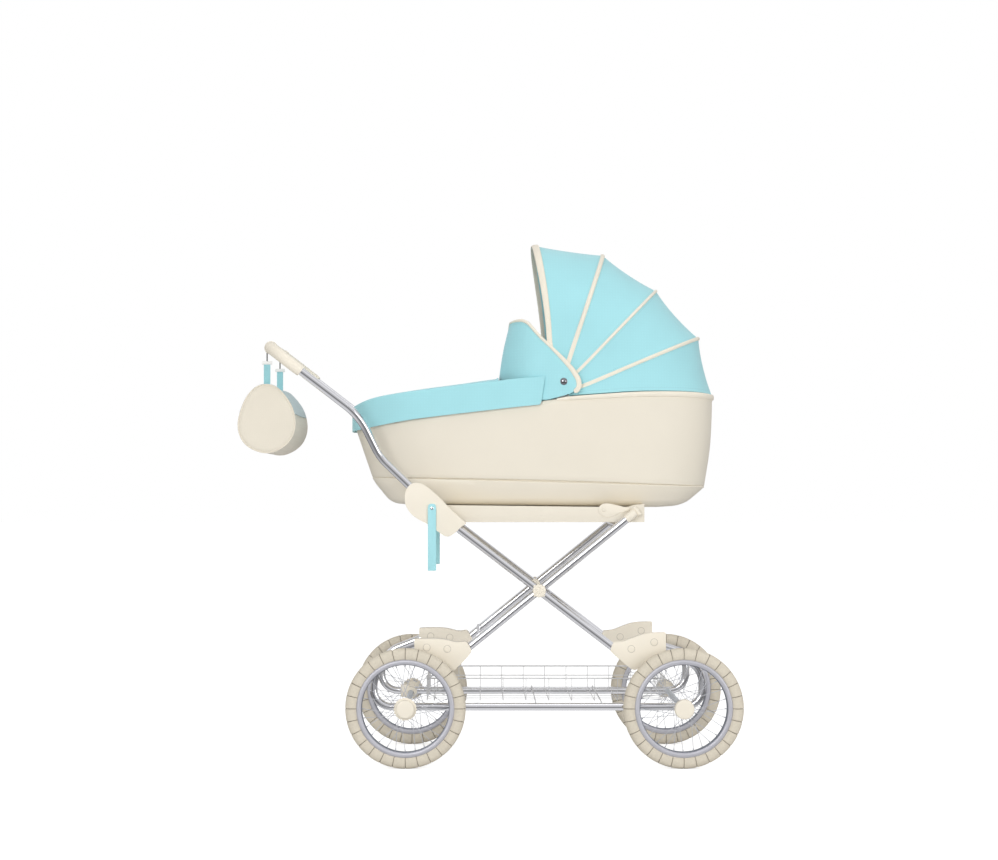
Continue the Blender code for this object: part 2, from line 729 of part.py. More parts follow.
def build_springs(side, side_name, rear_frame, front_frame):
    """The rear and front tube loops of one side, which slide into each other at the rail's seam."""
    y = side * SPRING_Y
    rear_corners = (
        (REAR_LOOP_END_X, REAR_LOOP_TOP_Z), (REAR_LOOP_X, REAR_LOOP_TOP_Z), (REAR_LOOP_X, RAIL_Z),
        (RAIL_SEAM_X - GAP, RAIL_Z),
    )
    route = rounded_path(in_plane(rear_corners, y), (REAR_LOOP_TOP_FILLET, LOOP_FOOT_FILLET))
    rear = as_mesh(tube(f"rear_spring_{side_name}", route, TUBE_RADIUS, looks["chrome"]))
    bore_ends = ((RAIL_SEAM_X - RAIL_BORE_DEPTH, y, RAIL_Z), (RAIL_SEAM_X + 0.01, y, RAIL_Z))
    bore = tube("bore", bore_ends, RAIL_BORE_RADIUS, None, sides=16)
    cut(rear, bore, axle_hole(REAR_AXLE_X, side))
    front_corners = (
        (RAIL_SEAM_X + GAP, RAIL_Z), (FRONT_LOOP_X, RAIL_Z), (FRONT_LOOP_X, FRONT_LOOP_TOP_Z),
        FRONT_LOOP_NECK, FRONT_LOOP_END,
    )
    fillets = (LOOP_FOOT_FILLET, FRONT_LOOP_TOP_FILLET, FRONT_NECK_FILLET)
    route = rounded_path(in_plane(front_corners, y), fillets)
    front = as_mesh(tube(f"front_spring_{side_name}", route, TUBE_RADIUS, looks["chrome"]))
    spigot_ends = ((RAIL_SEAM_X - SPIGOT_LENGTH, y, RAIL_Z), (RAIL_SEAM_X + 0.01, y, RAIL_Z))
    fuse(front, tube("spigot", spigot_ends, SPIGOT_RADIUS, None, sides=10))
    cut(front, axle_hole(FRONT_AXLE_X, side))
    attach(rear, rear_frame)
    attach(front, front_frame)


def rivet(place, side):
    start = side * (BRACKET_OUTER_Y - 0.001)
    end = side * (BRACKET_OUTER_Y + RIVET_RISE)
    return bar_across("rivet", RIVET_RADIUS, start, end, place, steps=12)


def build_bracket(name, outline, web_top, web_ends, inner, pivot, rivet_place, side, carrier):
    """Two cheeks and a web over the top, with the pivot pin across and rivet heads outside."""
    wall_in, wall_out = inner
    body = as_mesh(plate(name, outline, wall_in, BRACKET_OUTER_Y, side, looks["cream"]))
    drop = Vector((0.0, -BRACKET_WEB))
    far_below = min(z for _, z in outline) - 0.02
    left = min(x for x, _ in outline) - 0.02
    right = max(x for x, _ in outline) + 0.02
    top = [tuple(Vector(point) + drop) for point in web_top]
    rear_rise, front_rise = web_ends
    inside = [(left, far_below), (left, top[0][1] + rear_rise), (top[0][0], top[0][1] + rear_rise)]
    inside += top
    inside += [(top[-1][0], top[-1][1] + front_rise), (right, top[-1][1] + front_rise), (right, far_below)]
    cut(body, plate("inside", inside, wall_out, BRACKET_OUT_INNER_Y, side, None))
    pin_in = side * (wall_in + wall_out) / 2
    pin_out = side * (BRACKET_OUTER_Y + RIVET_RISE - 0.0001)
    fuse(body, bar_across("pin", PIN_RADIUS, pin_in, pin_out, pivot))
    fuse(body, rivet(pivot, side), rivet(rivet_place, side))
    return attach(body, carrier)


def knuckle(tube_end, pivot, y_middle, side):
    """A flat link from a tube's end to the pivot, round at the pivot."""
    end = Vector(tube_end)
    towards = (pivot - end).normalized()
    across = Vector((-towards.y, towards.x))
    outline = [tuple(end + across * KNUCKLE_RADIUS * 0.8), tuple(end - across * KNUCKLE_RADIUS * 0.8)]
    start = math.atan2(-across.y, -across.x)
    for step in range(9):
        outline.append(tuple(pivot + direction(start + math.pi * step / 8) * KNUCKLE_RADIUS))
    return plate("knuckle", outline, y_middle - KNUCKLE_HALF, y_middle + KNUCKLE_HALF, side, None)


def pin_hole(place, side, y_middle, radius=PIN_RADIUS):
    start = side * (y_middle - 2 * TUBE_RADIUS)
    end = side * (y_middle + 2 * TUBE_RADIUS)
    return bar_across("hole", radius + PIN_GAP, start, end, place)


def build_rising_tube(side, side_name, carrier):
    """Tube from the rear bracket up to the front: knuckle below, cross hook on its upper end."""
    along = direction(RISE_ANGLE)
    low = CROSS - along * RISE_LOWER_REACH
    high = CROSS + along * RISE_UPPER_REACH
    y = side * RISING_Y
    name = f"rising_tube_{side_name}"
    body = as_mesh(tube(name, in_plane((low, high), y), TUBE_RADIUS, looks["chrome"]))
    hook_middle = high + along * HOOK_OFFSET
    across = Vector((along.y, -along.x)) * (HOOK_HALF + HOOK_RADIUS)
    hook_route = in_plane((hook_middle - across, hook_middle + across), y)
    fuse(body, knuckle(low + along * 0.008, REAR_PIVOT, RISING_Y, side))
    fuse(body, tube("hook", hook_route, HOOK_RADIUS, None))
    cut(body, pin_hole(REAR_PIVOT, side, RISING_Y), pin_hole(CROSS, side, RISING_Y))
    return attach(body, carrier)


def build_falling_tube(side, side_name, carrier):
    """Tube from the handle housing down to the front bracket."""
    along = direction(FALL_ANGLE)
    high = CROSS - along * FALL_UPPER_REACH
    low = CROSS + along * FALL_LOWER_REACH
    name = f"falling_tube_{side_name}"
    route = in_plane((high, low), side * SPRING_Y)
    body = as_mesh(tube(name, route, TUBE_RADIUS, looks["chrome"]))
    fuse(body, knuckle(low - along * 0.008, FRONT_PIVOT, SPRING_Y, side))
    cut(body, pin_hole(FRONT_PIVOT, side, SPRING_Y), pin_hole(CROSS, side, SPRING_Y))
    return attach(body, carrier)


def build_pivot_bolt(side, side_name, carrier):
    """Bolt through both crossing tubes, with a broad cap outside and a smaller one inside."""
    inner = RISING_Y - TUBE_RADIUS - GAP
    outer = SPRING_Y + TUBE_RADIUS + GAP
    name = f"pivot_bolt_{side_name}"
    outer_end = outer + BOLT_OUTER_THICKNESS
    inner_end = inner - BOLT_INNER_THICKNESS
    cap = bar_across(name, BOLT_OUTER_RADIUS, side * outer, side * outer_end, CROSS, looks["cream"], 20)
    shank = bar_across(
        "shank", PIN_RADIUS, side * (inner - 0.001), side * (outer + 0.001), CROSS
    )
    nut = bar_across("nut", BOLT_INNER_RADIUS, side * inner_end, side * inner, CROSS)
    return attach(fuse(cap, shank, nut), carrier)


def housing_slot(side):
    """The space that the handle's lower end sweeps, from fully forward to fully back."""
    rest = math.atan2(HANDLE_LOW[1] - HANDLE_PIVOT.y, HANDLE_LOW[0] - HANDLE_PIVOT.x)
    forward = rest - HANDLE_FORWARD - math.radians(5)
    back = rest + HANDLE_BACK
    offset = HANDLE_RADIUS + 0.0015
    far = 0.100
    tangent = math.acos(offset / SLOT_RADIUS)
    outline = [tuple(HANDLE_PIVOT + direction(forward - math.pi / 2) * offset + direction(forward) * far)]
    start = forward - math.pi / 2 + tangent
    end = back - 1.5 * math.pi - tangent
    steps = 12
    for step in range(steps + 1):
        turn = start + (end - start) * step / steps
        outline.append(tuple(HANDLE_PIVOT + direction(turn) * SLOT_RADIUS))
    outline.append(tuple(HANDLE_PIVOT + direction(back + math.pi / 2) * offset + direction(back) * far))
    outline.append(tuple(HANDLE_PIVOT + direction((forward + back) / 2) * far * 1.5))
    inner = HANDLE_Y - HANDLE_RADIUS - 0.001
    outer = HANDLE_Y + HANDLE_RADIUS + 0.001
    return plate("slot", outline, inner, outer, side, None)


def build_housing(side, side_name, carrier):
    """Moulded housing on the falling tube's upper end: handle slot, pivot pin and lever stud."""
    name = f"handle_housing_{side_name}"
    body = as_mesh(plate(name, HOUSING, FRONT_INNER_Y, HOUSING_OUTER_Y, side, looks["cream"]))
    along = direction(FALL_ANGLE)
    bore_end = CROSS - along * (FALL_UPPER_REACH + GAP)
    bore_route = in_plane((bore_end, bore_end + along * HOUSING_BORE), side * SPRING_Y)
    cut(body, housing_slot(side), tube("bore", bore_route, TUBE_RADIUS + PIN_GAP, None))
    wall = 0.0015
    pin_in = side * (FRONT_INNER_Y + wall)
    pin_out = side * (HOUSING_OUTER_Y - wall)
    fuse(body, bar_across("pin", PIN_RADIUS, pin_in, pin_out, HANDLE_PIVOT))
    stud_in = side * (HOUSING_OUTER_Y - wall)
    head_in = HOUSING_OUTER_Y + GAP + LEVER_THICKNESS + GAP
    head_out = side * (head_in + 0.0012)
    fuse(body, bar_across("stud", LEVER_PIN_RADIUS, stud_in, side * (head_in + 0.0006), LEVER_PIVOT))
    fuse(body, bar_across("head", LEVER_HEAD_RADIUS, side * head_in, head_out, LEVER_PIVOT, steps=12))
    return attach(body, carrier)


def build_lever(side, side_name, carrier):
    """Flat release lever that hangs on the housing's stud."""
    x = LEVER_PIVOT.x
    corner = 0.004
    outline = (
        (x - LEVER_HALF, LEVER_BOTTOM_Z + corner), (x - LEVER_HALF + corner, LEVER_BOTTOM_Z),
        (x + LEVER_HALF - corner, LEVER_BOTTOM_Z), (x + LEVER_HALF, LEVER_BOTTOM_Z + corner),
        (x + LEVER_HALF, LEVER_TOP_Z - corner), (x + LEVER_HALF - corner, LEVER_TOP_Z),
        (x - LEVER_HALF + corner, LEVER_TOP_Z), (x - LEVER_HALF, LEVER_TOP_Z - corner),
    )
    inner = HOUSING_OUTER_Y + GAP
    name = f"release_lever_{side_name}"
    body = as_mesh(plate(name, outline, inner, inner + LEVER_THICKNESS, side, looks["cyan_plastic"]))
    hole_ends = (side * (inner - 0.002), side * (inner + 2 * LEVER_THICKNESS))
    cut(body, bar_across("hole", LEVER_PIN_RADIUS + PIN_GAP, *hole_ends, LEVER_PIVOT))
    return attach(body, carrier)


def handle_route():
    """Centre line of the handle from its left pivot, over the bar, to its right pivot."""
    pivot = Vector((HANDLE_PIVOT.x, HANDLE_Y, HANDLE_PIVOT.y))
    low = Vector((HANDLE_LOW[0], HANDLE_Y, HANDLE_LOW[1]))
    start = pivot + (pivot - low).normalized() * HANDLE_STUB
    bend = Vector((HANDLE_BEND[0], HANDLE_BEND_Y, HANDLE_BEND[1]))
    corner = Vector((HANDLE_BAR.x, HANDLE_BAR_Y, HANDLE_BAR.y))
    left = [start, low, bend, corner]
    right = [Vector((point.x, -point.y, point.z)) for point in reversed(left)]
    fillets = [HANDLE_LOW_FILLET, HANDLE_BEND_FILLET, HANDLE_CORNER_FILLET]
    return rounded_path(left + right, fillets + fillets[::-1])


def build_handle(carrier):
    route = handle_route()
    body = as_mesh(tube("handle_tube", route, HANDLE_RADIUS, looks["chrome"], sides=12))
    for side in (-1, 1):
        cut(body, pin_hole(HANDLE_PIVOT, side, HANDLE_Y))
    attach(body, carrier)
    corner = 3 * (FILLET_STEPS + 1)
    first = corner - FILLET_STEPS
    tangent = (route[first] - route[first - 1]).normalized()
    start = route[first] - tangent * GRIP_SIDE_LENGTH
    left = [start] + route[first:corner + 1]
    grip_route = left + [Vector((point.x, -point.y, point.z)) for point in reversed(left)]
    end_scale = GRIP_END_RADIUS / GRIP_RADIUS
    scales = [end_scale] + [1.0] * (len(grip_route) - 2) + [end_scale]
    grip = as_mesh(tube("handle_grip", grip_route, GRIP_RADIUS, looks["cream"], scales, sides=12))
    bore_route = [start - tangent * 0.01] + grip_route[1:-1]
    bore_route.append(Vector((bore_route[0].x, -bore_route[0].y, bore_route[0].z)))
    cut(grip, tube("bore", bore_route, HANDLE_RADIUS + GRIP_BORE_GAP, None, sides=12))
    attach(grip, carrier)


def build_bag(carrier):
    """Egg-ended bag, and a hook with a strap for each end of it."""
    body = round_edges(plate("bag_body", BAG, -BAG_HALF, BAG_HALF, 1, looks["bag"]), BAG_EDGE)
    attach(body, carrier)
    bag_top = max(z for _, z in BAG)
    for side, side_name in SIDES:
        inner = HANGER_Y - RING_WIDTH / 2
        outer = HANGER_Y + RING_WIDTH / 2
        bore_radius = GRIP_RADIUS + 0.0006
        name = f"bag_hanger_{side_name}"
        ring_ends = (side * inner, side * outer)
        ring = bar_across(name, bore_radius + RING_WALL, *ring_ends, HANDLE_BAR, looks["clip"], 20)
        bore_ends = (side * (inner - 0.01), side * (outer + 0.01))
        cut(ring, bar_across("bore", bore_radius, *bore_ends, HANDLE_BAR, steps=20))
        drop = HANGER_X - HANDLE_BAR.x
        stem_top = HANDLE_BAR.y - math.sqrt((bore_radius + RING_WALL / 2) ** 2 - drop ** 2) - 0.0005
        hanger_y = side * HANGER_Y
        stem_route = ((HANGER_X, hanger_y, CLIP_TOP_Z - 0.002), (HANGER_X, hanger_y, stem_top))
        fuse(ring, tube("stem", stem_route, STEM_RADIUS, None, sides=8))
        clip_low = (HANGER_X - CLIP_HALF, hanger_y - STRAP_THICKNESS, STRAP_TOP_Z)
        clip_high = (HANGER_X + CLIP_HALF, hanger_y + STRAP_THICKNESS, CLIP_TOP_Z)
        fuse(ring, box("clip", clip_low, clip_high))
        strap_in = hanger_y - STRAP_THICKNESS / 2
        strap_low = (HANGER_X - STRAP_HALF, strap_in, bag_top + GAP)
        strap_high = (HANGER_X + STRAP_HALF, strap_in + STRAP_THICKNESS, STRAP_TOP_Z + 0.002)
        fuse(ring, box("strap", strap_low, strap_high))
        attach(ring, carrier)


def add_bar(shape, low, high):
    size = Vector(high) - Vector(low)
    centre = (Vector(low) + Vector(high)) / 2
    place = Matrix.Translation(centre) @ Matrix.Diagonal((*size, 1.0))
    bmesh.ops.create_cube(shape, size=1.0, matrix=place)


def basket_wires(shape, floor_z):
    """Hoops across, runs along the floor and walls, and uprights at both ends, crossing each other."""
    thick = BASKET_WIRE / 2
    thin = thick * 0.8
    length = BASKET_FRONT_X - BASKET_REAR_X
    for column in range(BASKET_COLUMNS + 1):
        x = BASKET_REAR_X + length * column / BASKET_COLUMNS
        low = (x - thick, -BASKET_HALF - thick, floor_z - thick)
        add_bar(shape, low, (x + thick, BASKET_HALF + thick, floor_z + thick))
        for y in (-BASKET_HALF, BASKET_HALF):
            low = (x - thick, y - thick, floor_z - thick)
            add_bar(shape, low, (x + thick, y + thick, BASKET_TOP_Z - thin / 2))
    for row in range(BASKET_ROWS + 1):
        y = -BASKET_HALF + 2 * BASKET_HALF * row / BASKET_ROWS
        low = (BASKET_REAR_X - thin, y - thin, floor_z - thin)
        add_bar(shape, low, (BASKET_FRONT_X + thin, y + thin, floor_z + thin))
        for x in (BASKET_REAR_X, BASKET_FRONT_X):
            if 0 < row < BASKET_ROWS:
                low = (x - thin, y - thin, floor_z - thin)
                add_bar(shape, low, (x + thin, y + thin, BASKET_TOP_Z - thin / 2))
    for z in ((floor_z + BASKET_TOP_Z) / 2, BASKET_TOP_Z):
        wide = thick * 1.1
        for y in (-BASKET_HALF, BASKET_HALF):
            low = (BASKET_REAR_X - wide, y - wide, z - thin)
            add_bar(shape, low, (BASKET_FRONT_X + wide, y + wide, z + thin))
        for x in (BASKET_REAR_X, BASKET_FRONT_X):
            low = (x - wide, -BASKET_HALF, z - thin * 0.9)
            add_bar(shape, low, (x + wide, BASKET_HALF, z + thin * 0.9))


def build_basket(carrier):
    """Open wire basket whose cross rods lie on the rails of the spring loops."""
    length = BASKET_FRONT_X - BASKET_REAR_X
    rod_bottom = RAIL_Z + TUBE_RADIUS + GAP
    floor_z = rod_bottom + BASKET_ROD / 2
    wires = bpy.data.meshes.new("wire_basket")
    shape = bmesh.new()
    basket_wires(shape, floor_z)
    shape.to_mesh(wires)
    shape.free()
    basket = add_object("wire_basket", wires, looks["wire"])
    rods = bpy.data.meshes.new("rods")
    shape = bmesh.new()
    for column in BASKET_ROD_COLUMNS:
        x = BASKET_REAR_X + length * column / BASKET_COLUMNS
        low = (x - BASKET_ROD / 2, -BASKET_ROD_HALF, rod_bottom)
        add_bar(shape, low, (x + BASKET_ROD / 2, BASKET_ROD_HALF, rod_bottom + BASKET_ROD))
    shape.to_mesh(rods)
    shape.free()
    fuse(basket, add_object("rods", rods, None))
    basket.modifiers[0].use_self = True
    return attach(basket, carrier)


def build_brake(carrier):
    """Foot brake: a barrel round the rear axle with a tread pad behind it."""
    place = (REAR_AXLE_X, WHEEL_RADIUS)
    lever = joint("brake_axis", (REAR_AXLE_X, BRAKE_INNER_Y, WHEEL_RADIUS), carrier)
    ends = (BRAKE_INNER_Y, BRAKE_OUTER_Y)
    body = bar_across("brake_lever", BRAKE_BARREL_RADIUS, *ends, place, looks["cream"], 20)
    pad_low = (REAR_AXLE_X - BRAKE_PAD_REACH, BRAKE_INNER_Y + 0.004, WHEEL_RADIUS - BRAKE_PAD_HALF + 0.001)
    pad_high = (REAR_AXLE_X + 0.002, BRAKE_OUTER_Y - 0.004, WHEEL_RADIUS + BRAKE_PAD_HALF - 0.002)
    fuse(body, box("pad", pad_low, pad_high))
    bore_ends = (BRAKE_INNER_Y - 0.01, BRAKE_OUTER_Y + 0.01)
    cut(body, bar_across("bore", AXLE_RADIUS + PIN_GAP, *bore_ends, place))
    attach(body, lever)


def cot_ring(rear, front, half_width, height):
    """Points round the carrycot's plan; height is a function of x and the share from rear to front."""
    ring = []
    for step in range(COT_STEPS):
        u, v = superellipse(2 * math.pi * (step + 0.5) / COT_STEPS, COT_CORNER)
        x = (rear + front) / 2 + (front - rear) / 2 * u
        ring.append((x, half_width * v, height(x, (u + 1) / 2)))
    return ring


def wall_ring(share, inwards, rise=0.0):
    """Ring on the carrycot's wall at a share of the way from the seam to the rim."""
    def height(_, along):
        seam_x = SHELL_REAR[0][1] + along * (SHELL_FRONT[0][1] - SHELL_REAR[0][1])
        rim_x = SHELL_REAR[-1][1] + along * (SHELL_FRONT[-1][1] - SHELL_REAR[-1][1])
        return (1 - share) * between(SEAM_LINE, seam_x) + share * between(RIM_LINE, rim_x) + rise
    rear = between(SHELL_REAR, share) + inwards
    front = between(SHELL_FRONT, share) - inwards
    return cot_ring(rear, front, between(SHELL_SIDE, share) - inwards, height)


def level_ring(rear, front, half_width):
    """Ring in the tilted plane through the rear and front (x, z) points."""
    def height(_, along):
        return rear[1] + along * (front[1] - rear[1])
    return cot_ring(rear[0], front[0], half_width, height)


def build_cot_shell(carrier):
    """Side walls with a rolled rim, and a plate with a pin on each side for the hood."""
    rings = [wall_ring(share, 0.0, GAP / 2 if share == 0 else 0.0) for share in (0.0, 0.35, 0.7, 1.0)]
    rings.append(wall_ring(1.0, -ROLL_OUT, 0.0010))
    rings.append(wall_ring(1.0, -ROLL_OUT, 0.0035))
    rings.append(wall_ring(1.0, -0.0010, ROLL_RISE))
    rings.append(wall_ring(1.0, SHELL_WALL, ROLL_RISE))
    rings.append(wall_ring(0.5, SHELL_WALL))
    rings.append(wall_ring(0.0, SHELL_WALL, GAP / 2))
    shell = loft("cot_shell", rings, looks["cream"], closed=True)
    plate_outer = HINGE_PLATE_INNER_Y + HINGE_PLATE_THICKNESS
    pin_end = bow_half_width(len(BOWS) - 1) + 0.0002
    for side, _ in SIDES:
        x, z = HOOD_PIVOT
        foot_z = z - HINGE_PLATE_DROP
        half = HINGE_PLATE_HALF
        corner = half * math.sin(math.pi / 4)
        outline = [(x - half, foot_z), (x + half, foot_z), (x + half, z), (x + corner, z + corner)]
        outline += [(x, z + half), (x - corner, z + corner), (x - half, z)]
        fuse(shell, plate("hinge", outline, HINGE_PLATE_INNER_Y, plate_outer, side, None))
        foot_y = sorted((side * (plate_outer - 0.001), side * (between(SHELL_SIDE, 1.0) - 0.003)))
        rim_z = between(RIM_LINE, x - half)
        foot_low = (x - half + 0.001, foot_y[0], foot_z + 0.002)
        foot_high = (x + half - 0.001, foot_y[1], rim_z - 0.004)
        fuse(shell, box("foot", foot_low, foot_high))
        pin_in = side * (HINGE_PLATE_INNER_Y + 0.001)
        fuse(shell, bar_across("pin", HOOD_PIN_RADIUS, pin_in, side * pin_end, HOOD_PIVOT, steps=12))
    return attach(shell, carrier)


def build_cot_tub(carrier):
    """Lower tub below the seam, with its floor."""
    outer = [wall_ring(0.0, 0.0, -GAP / 2)]
    inner = [wall_ring(0.0, TUB_RIM_WALL, -GAP / 2)]
    for rear, front, half_width, wall, floor in TUB_LEVELS:
        outer.append(level_ring(rear, front, half_width))
        inner_rear = (rear[0] + wall, rear[1] + floor)
        inner_front = (front[0] - wall, front[1] + floor)
        inner.append(level_ring(inner_rear, inner_front, half_width - wall))
    tub = loft("cot_tub", outer[::-1] + inner, looks["light_cream"])
    return attach(tub, carrier)


def floor_height(x):
    """Underside of the tub, a tilted plane."""
    rear, front = TUB_LEVELS[-1][:2]
    return rear[1] + (x - rear[0]) * (front[1] - rear[1]) / (front[0] - rear[0])


def build_base(carrier):
    """Hollow platform under the tub that rests on the frame's cross tubes, with a stud for each latch."""
    outline = (
        (BASE_REAR_X, BASE_BOTTOM_Z), (BASE_FRONT_X, BASE_BOTTOM_Z),
        (BASE_FRONT_X, floor_height(BASE_FRONT_X) - GAP), (BASE_REAR_X, floor_height(BASE_REAR_X) - GAP),
    )
    body = as_mesh(plate("cot_base", outline, -BASE_HALF, BASE_HALF, 1, looks["cream"]))
    wall = BASE_WALL
    low = (BASE_REAR_X + wall, -BASE_HALF + wall, BASE_BOTTOM_Z - 0.01)
    high = (BASE_FRONT_X - wall, BASE_HALF - wall, floor_height(BASE_FRONT_X) - GAP - BASE_TOP_WALL)
    cut(body, box("pocket", low, high))
    for side, _ in SIDES:
        head_in = BASE_HALF + GAP + LATCH_THICKNESS + GAP
        stud_in = side * (BASE_HALF - 0.002)
        stud_out = side * (head_in + LATCH_HEAD / 2)
        fuse(body, bar_across("stud", LATCH_PIN_RADIUS, stud_in, stud_out, LATCH_PIVOT, steps=12))
        head_out = side * (head_in + LATCH_HEAD)
        head_ends = (side * head_in, head_out)
        fuse(body, bar_across("head", 2 * LATCH_PIN_RADIUS, *head_ends, LATCH_PIVOT, steps=12))
    return attach(body, carrier)


def build_latch(side, side_name, carrier):
    """Link from the base's stud towards the hook on the rising tube."""
    inner = BASE_HALF + GAP
    outer = inner + LATCH_THICKNESS
    body = as_mesh(plate(f"latch_link_{side_name}", LATCH, inner, outer, side, looks["cream"]))
    hole_radius = LATCH_PIN_RADIUS + PIN_GAP
    hole_ends = (side * (inner - 0.002), side * (outer + 0.002))
    cut(body, bar_across("hole", hole_radius, *hole_ends, LATCH_PIVOT, steps=12))
    return attach(body, carrier)


def build_mattress(carrier):
    floor = TUB_LEVELS[-1][4] + GAP
    rings = []
    for rear_x, front_x, half_width, height in MATTRESS_LEVELS:
        rear = (rear_x, floor_height(rear_x) + floor + height)
        front = (front_x, floor_height(front_x) + floor + height)
        rings.append(level_ring(rear, front, half_width))
    return attach(loft("mattress", rings, looks["mattress"]), carrier)


def build_apron(carrier):
    """Padded cover over the foot end: a domed top with a valance outside the rim."""
    inner_out = ROLL_OUT + APRON_GAP
    outer_out = inner_out + APRON_THICKNESS
    rear = SHELL_REAR[-1][1] - outer_out
    front = SHELL_FRONT[-1][1] + outer_out
    half_width = SHELL_SIDE[-1][1] + outer_out
    middle = (rear + front) / 2
    mesh = bpy.data.meshes.new("apron")
    shape = bmesh.new()
    top_drop = 0.010

    def ring(scale, height):
        points = cot_ring(rear, front, half_width, height)
        return [shape.verts.new((middle + (x - middle) * scale, y * scale, z)) for x, y, z in points]

    rings = [
        ring(1.0, lambda x, _: between(APRON_HEM, x)),
        ring(1.0, lambda x, _: (between(APRON_HEM, x) + between(APRON_TOP_SIDE, x) - top_drop) / 2),
        ring(1.0, lambda x, _: between(APRON_TOP_SIDE, x) - top_drop),
        ring(0.985, lambda x, _: between(APRON_TOP_SIDE, x) - 0.002),
    ]
    for scale in APRON_RINGS:
        def height(x, _, scale=scale):
            place = middle + (x - middle) * scale
            return between(APRON_TOP_SIDE, place) + (1 - scale) * (
                between(APRON_TOP_MID, place) - between(APRON_TOP_SIDE, place)
            )
        rings.append(ring(scale, height))
    for lower, upper in zip(rings, rings[1:]):
        for index in range(COT_STEPS):
            onward = (index + 1) % COT_STEPS
            shape.faces.new((lower[index], lower[onward], upper[onward], upper[index]))
    top = shape.verts.new((middle, 0.0, between(APRON_TOP_MID, middle)))
    for index in range(COT_STEPS):
        shape.faces.new((rings[-1][index], rings[-1][(index + 1) % COT_STEPS], top))
    bmesh.ops.recalc_face_normals(shape, faces=shape.faces)
    shape.to_mesh(mesh)
    shape.free()
    apron = add_object("apron", mesh, looks["cyan_fabric"])
    solid = apron.modifiers.new("Thickness", "SOLIDIFY")
    solid.thickness = APRON_THICKNESS
    solid.offset = -1.0
    solid.use_even_offset = True
    apron = as_mesh(apron)
    side_inner = SHELL_SIDE[-1][1] + inner_out
    clear = box("clear", (APRON_TOP_END_X, -side_inner + 0.0008, 0.7), (0.8, side_inner - 0.0008, 1.1))
    cut(apron, clear, box("front", (APRON_SIDE_END_X, -0.3, 0.7), (0.8, 0.3, 1.1)))
    return attach(apron, carrier)


def flap_layers():
    """Inner and outer half width of the wind flap's lobes, outside the hood's legs."""
    inner = bow_half_width(len(BOWS) - 1) + FLAP_GAP
    return inner, inner + FLAP_THICKNESS


def build_flap(carrier):
    """Upright wind flap, a U in plan, whose lobes reach back over the hood's pivot."""
    _, outer = flap_layers()
    corner_x = FLAP_FRONT_X + FLAP_CORNER
    corner_y = outer - FLAP_CORNER
    plan = [(x, outer, 0.0) for x in FLAP_LOBE_X]
    arc_steps = 6
    for step in range(arc_steps + 1):
        turn = math.pi / 2 * step / arc_steps
        lean = math.sin(turn)
        x = corner_x - FLAP_CORNER * math.sin(turn)
        plan.append((x, corner_y + FLAP_CORNER * math.cos(turn), lean))
    plan += [(x, y, lean) for x, y, lean in ((FLAP_FRONT_X, corner_y / 2, 1.0), (FLAP_FRONT_X, 0.0, 1.0))]
    plan += [(x, -y, lean) for x, y, lean in reversed(plan[:-1])]
    rows = []
    for row in range(FLAP_ROWS + 1):
        share = row / FLAP_ROWS
        points = []
        for x, y, lean in plan:
            bottom = between(FLAP_BOTTOM, x)
            z = bottom + share * (between(FLAP_TOP, x) - bottom)
            points.append((x + lean * FLAP_LEAN * max(z - FLAP_BASE_Z, 0.0), y, z))
        rows.append(points)
    look = looks["cyan_fabric"]
    flap = sheet("wind_flap", rows, FLAP_THICKNESS, look, lambda at: Vector((-1.0, 0.0, 0.0)))
    return attach(flap, carrier)


def build_stud(side, side_name, carrier):
    """Domed press stud on the flap, over the hood's pivot."""
    profile = [(0.0, 0.0), (STUD_RADIUS, 0.0), (STUD_RADIUS, STUD_RISE * 0.35)]
    profile += [(STUD_RADIUS * 0.75, STUD_RISE * 0.8), (STUD_RADIUS * 0.35, STUD_RISE), (0.0, STUD_RISE)]
    _, outer = flap_layers()
    place = (HOOD_PIVOT.x, side * (outer + GAP), HOOD_PIVOT.y)
    return attach(turned(f"snap_stud_{side_name}", profile, place, side, looks["dark"], 14), carrier)


def arch(radius, half_width):
    """(y, reach) points of a bow, from one leg's foot over the top to the other's."""
    points = []
    for step in range(BOW_STEPS + 1):
        u, v = superellipse(math.pi * step / BOW_STEPS, BOW_POWER)
        points.append((half_width * u, BOW_LEG + (radius - BOW_LEG) * max(v, 0.0)))
    return points


def bow_half_width(index):
    plate_outer = HINGE_PLATE_INNER_Y + HINGE_PLATE_THICKNESS
    return plate_outer + BOW_FIRST_GAP + (index + 1) * BOW_THICKNESS + index * BOW_LAYER_GAP


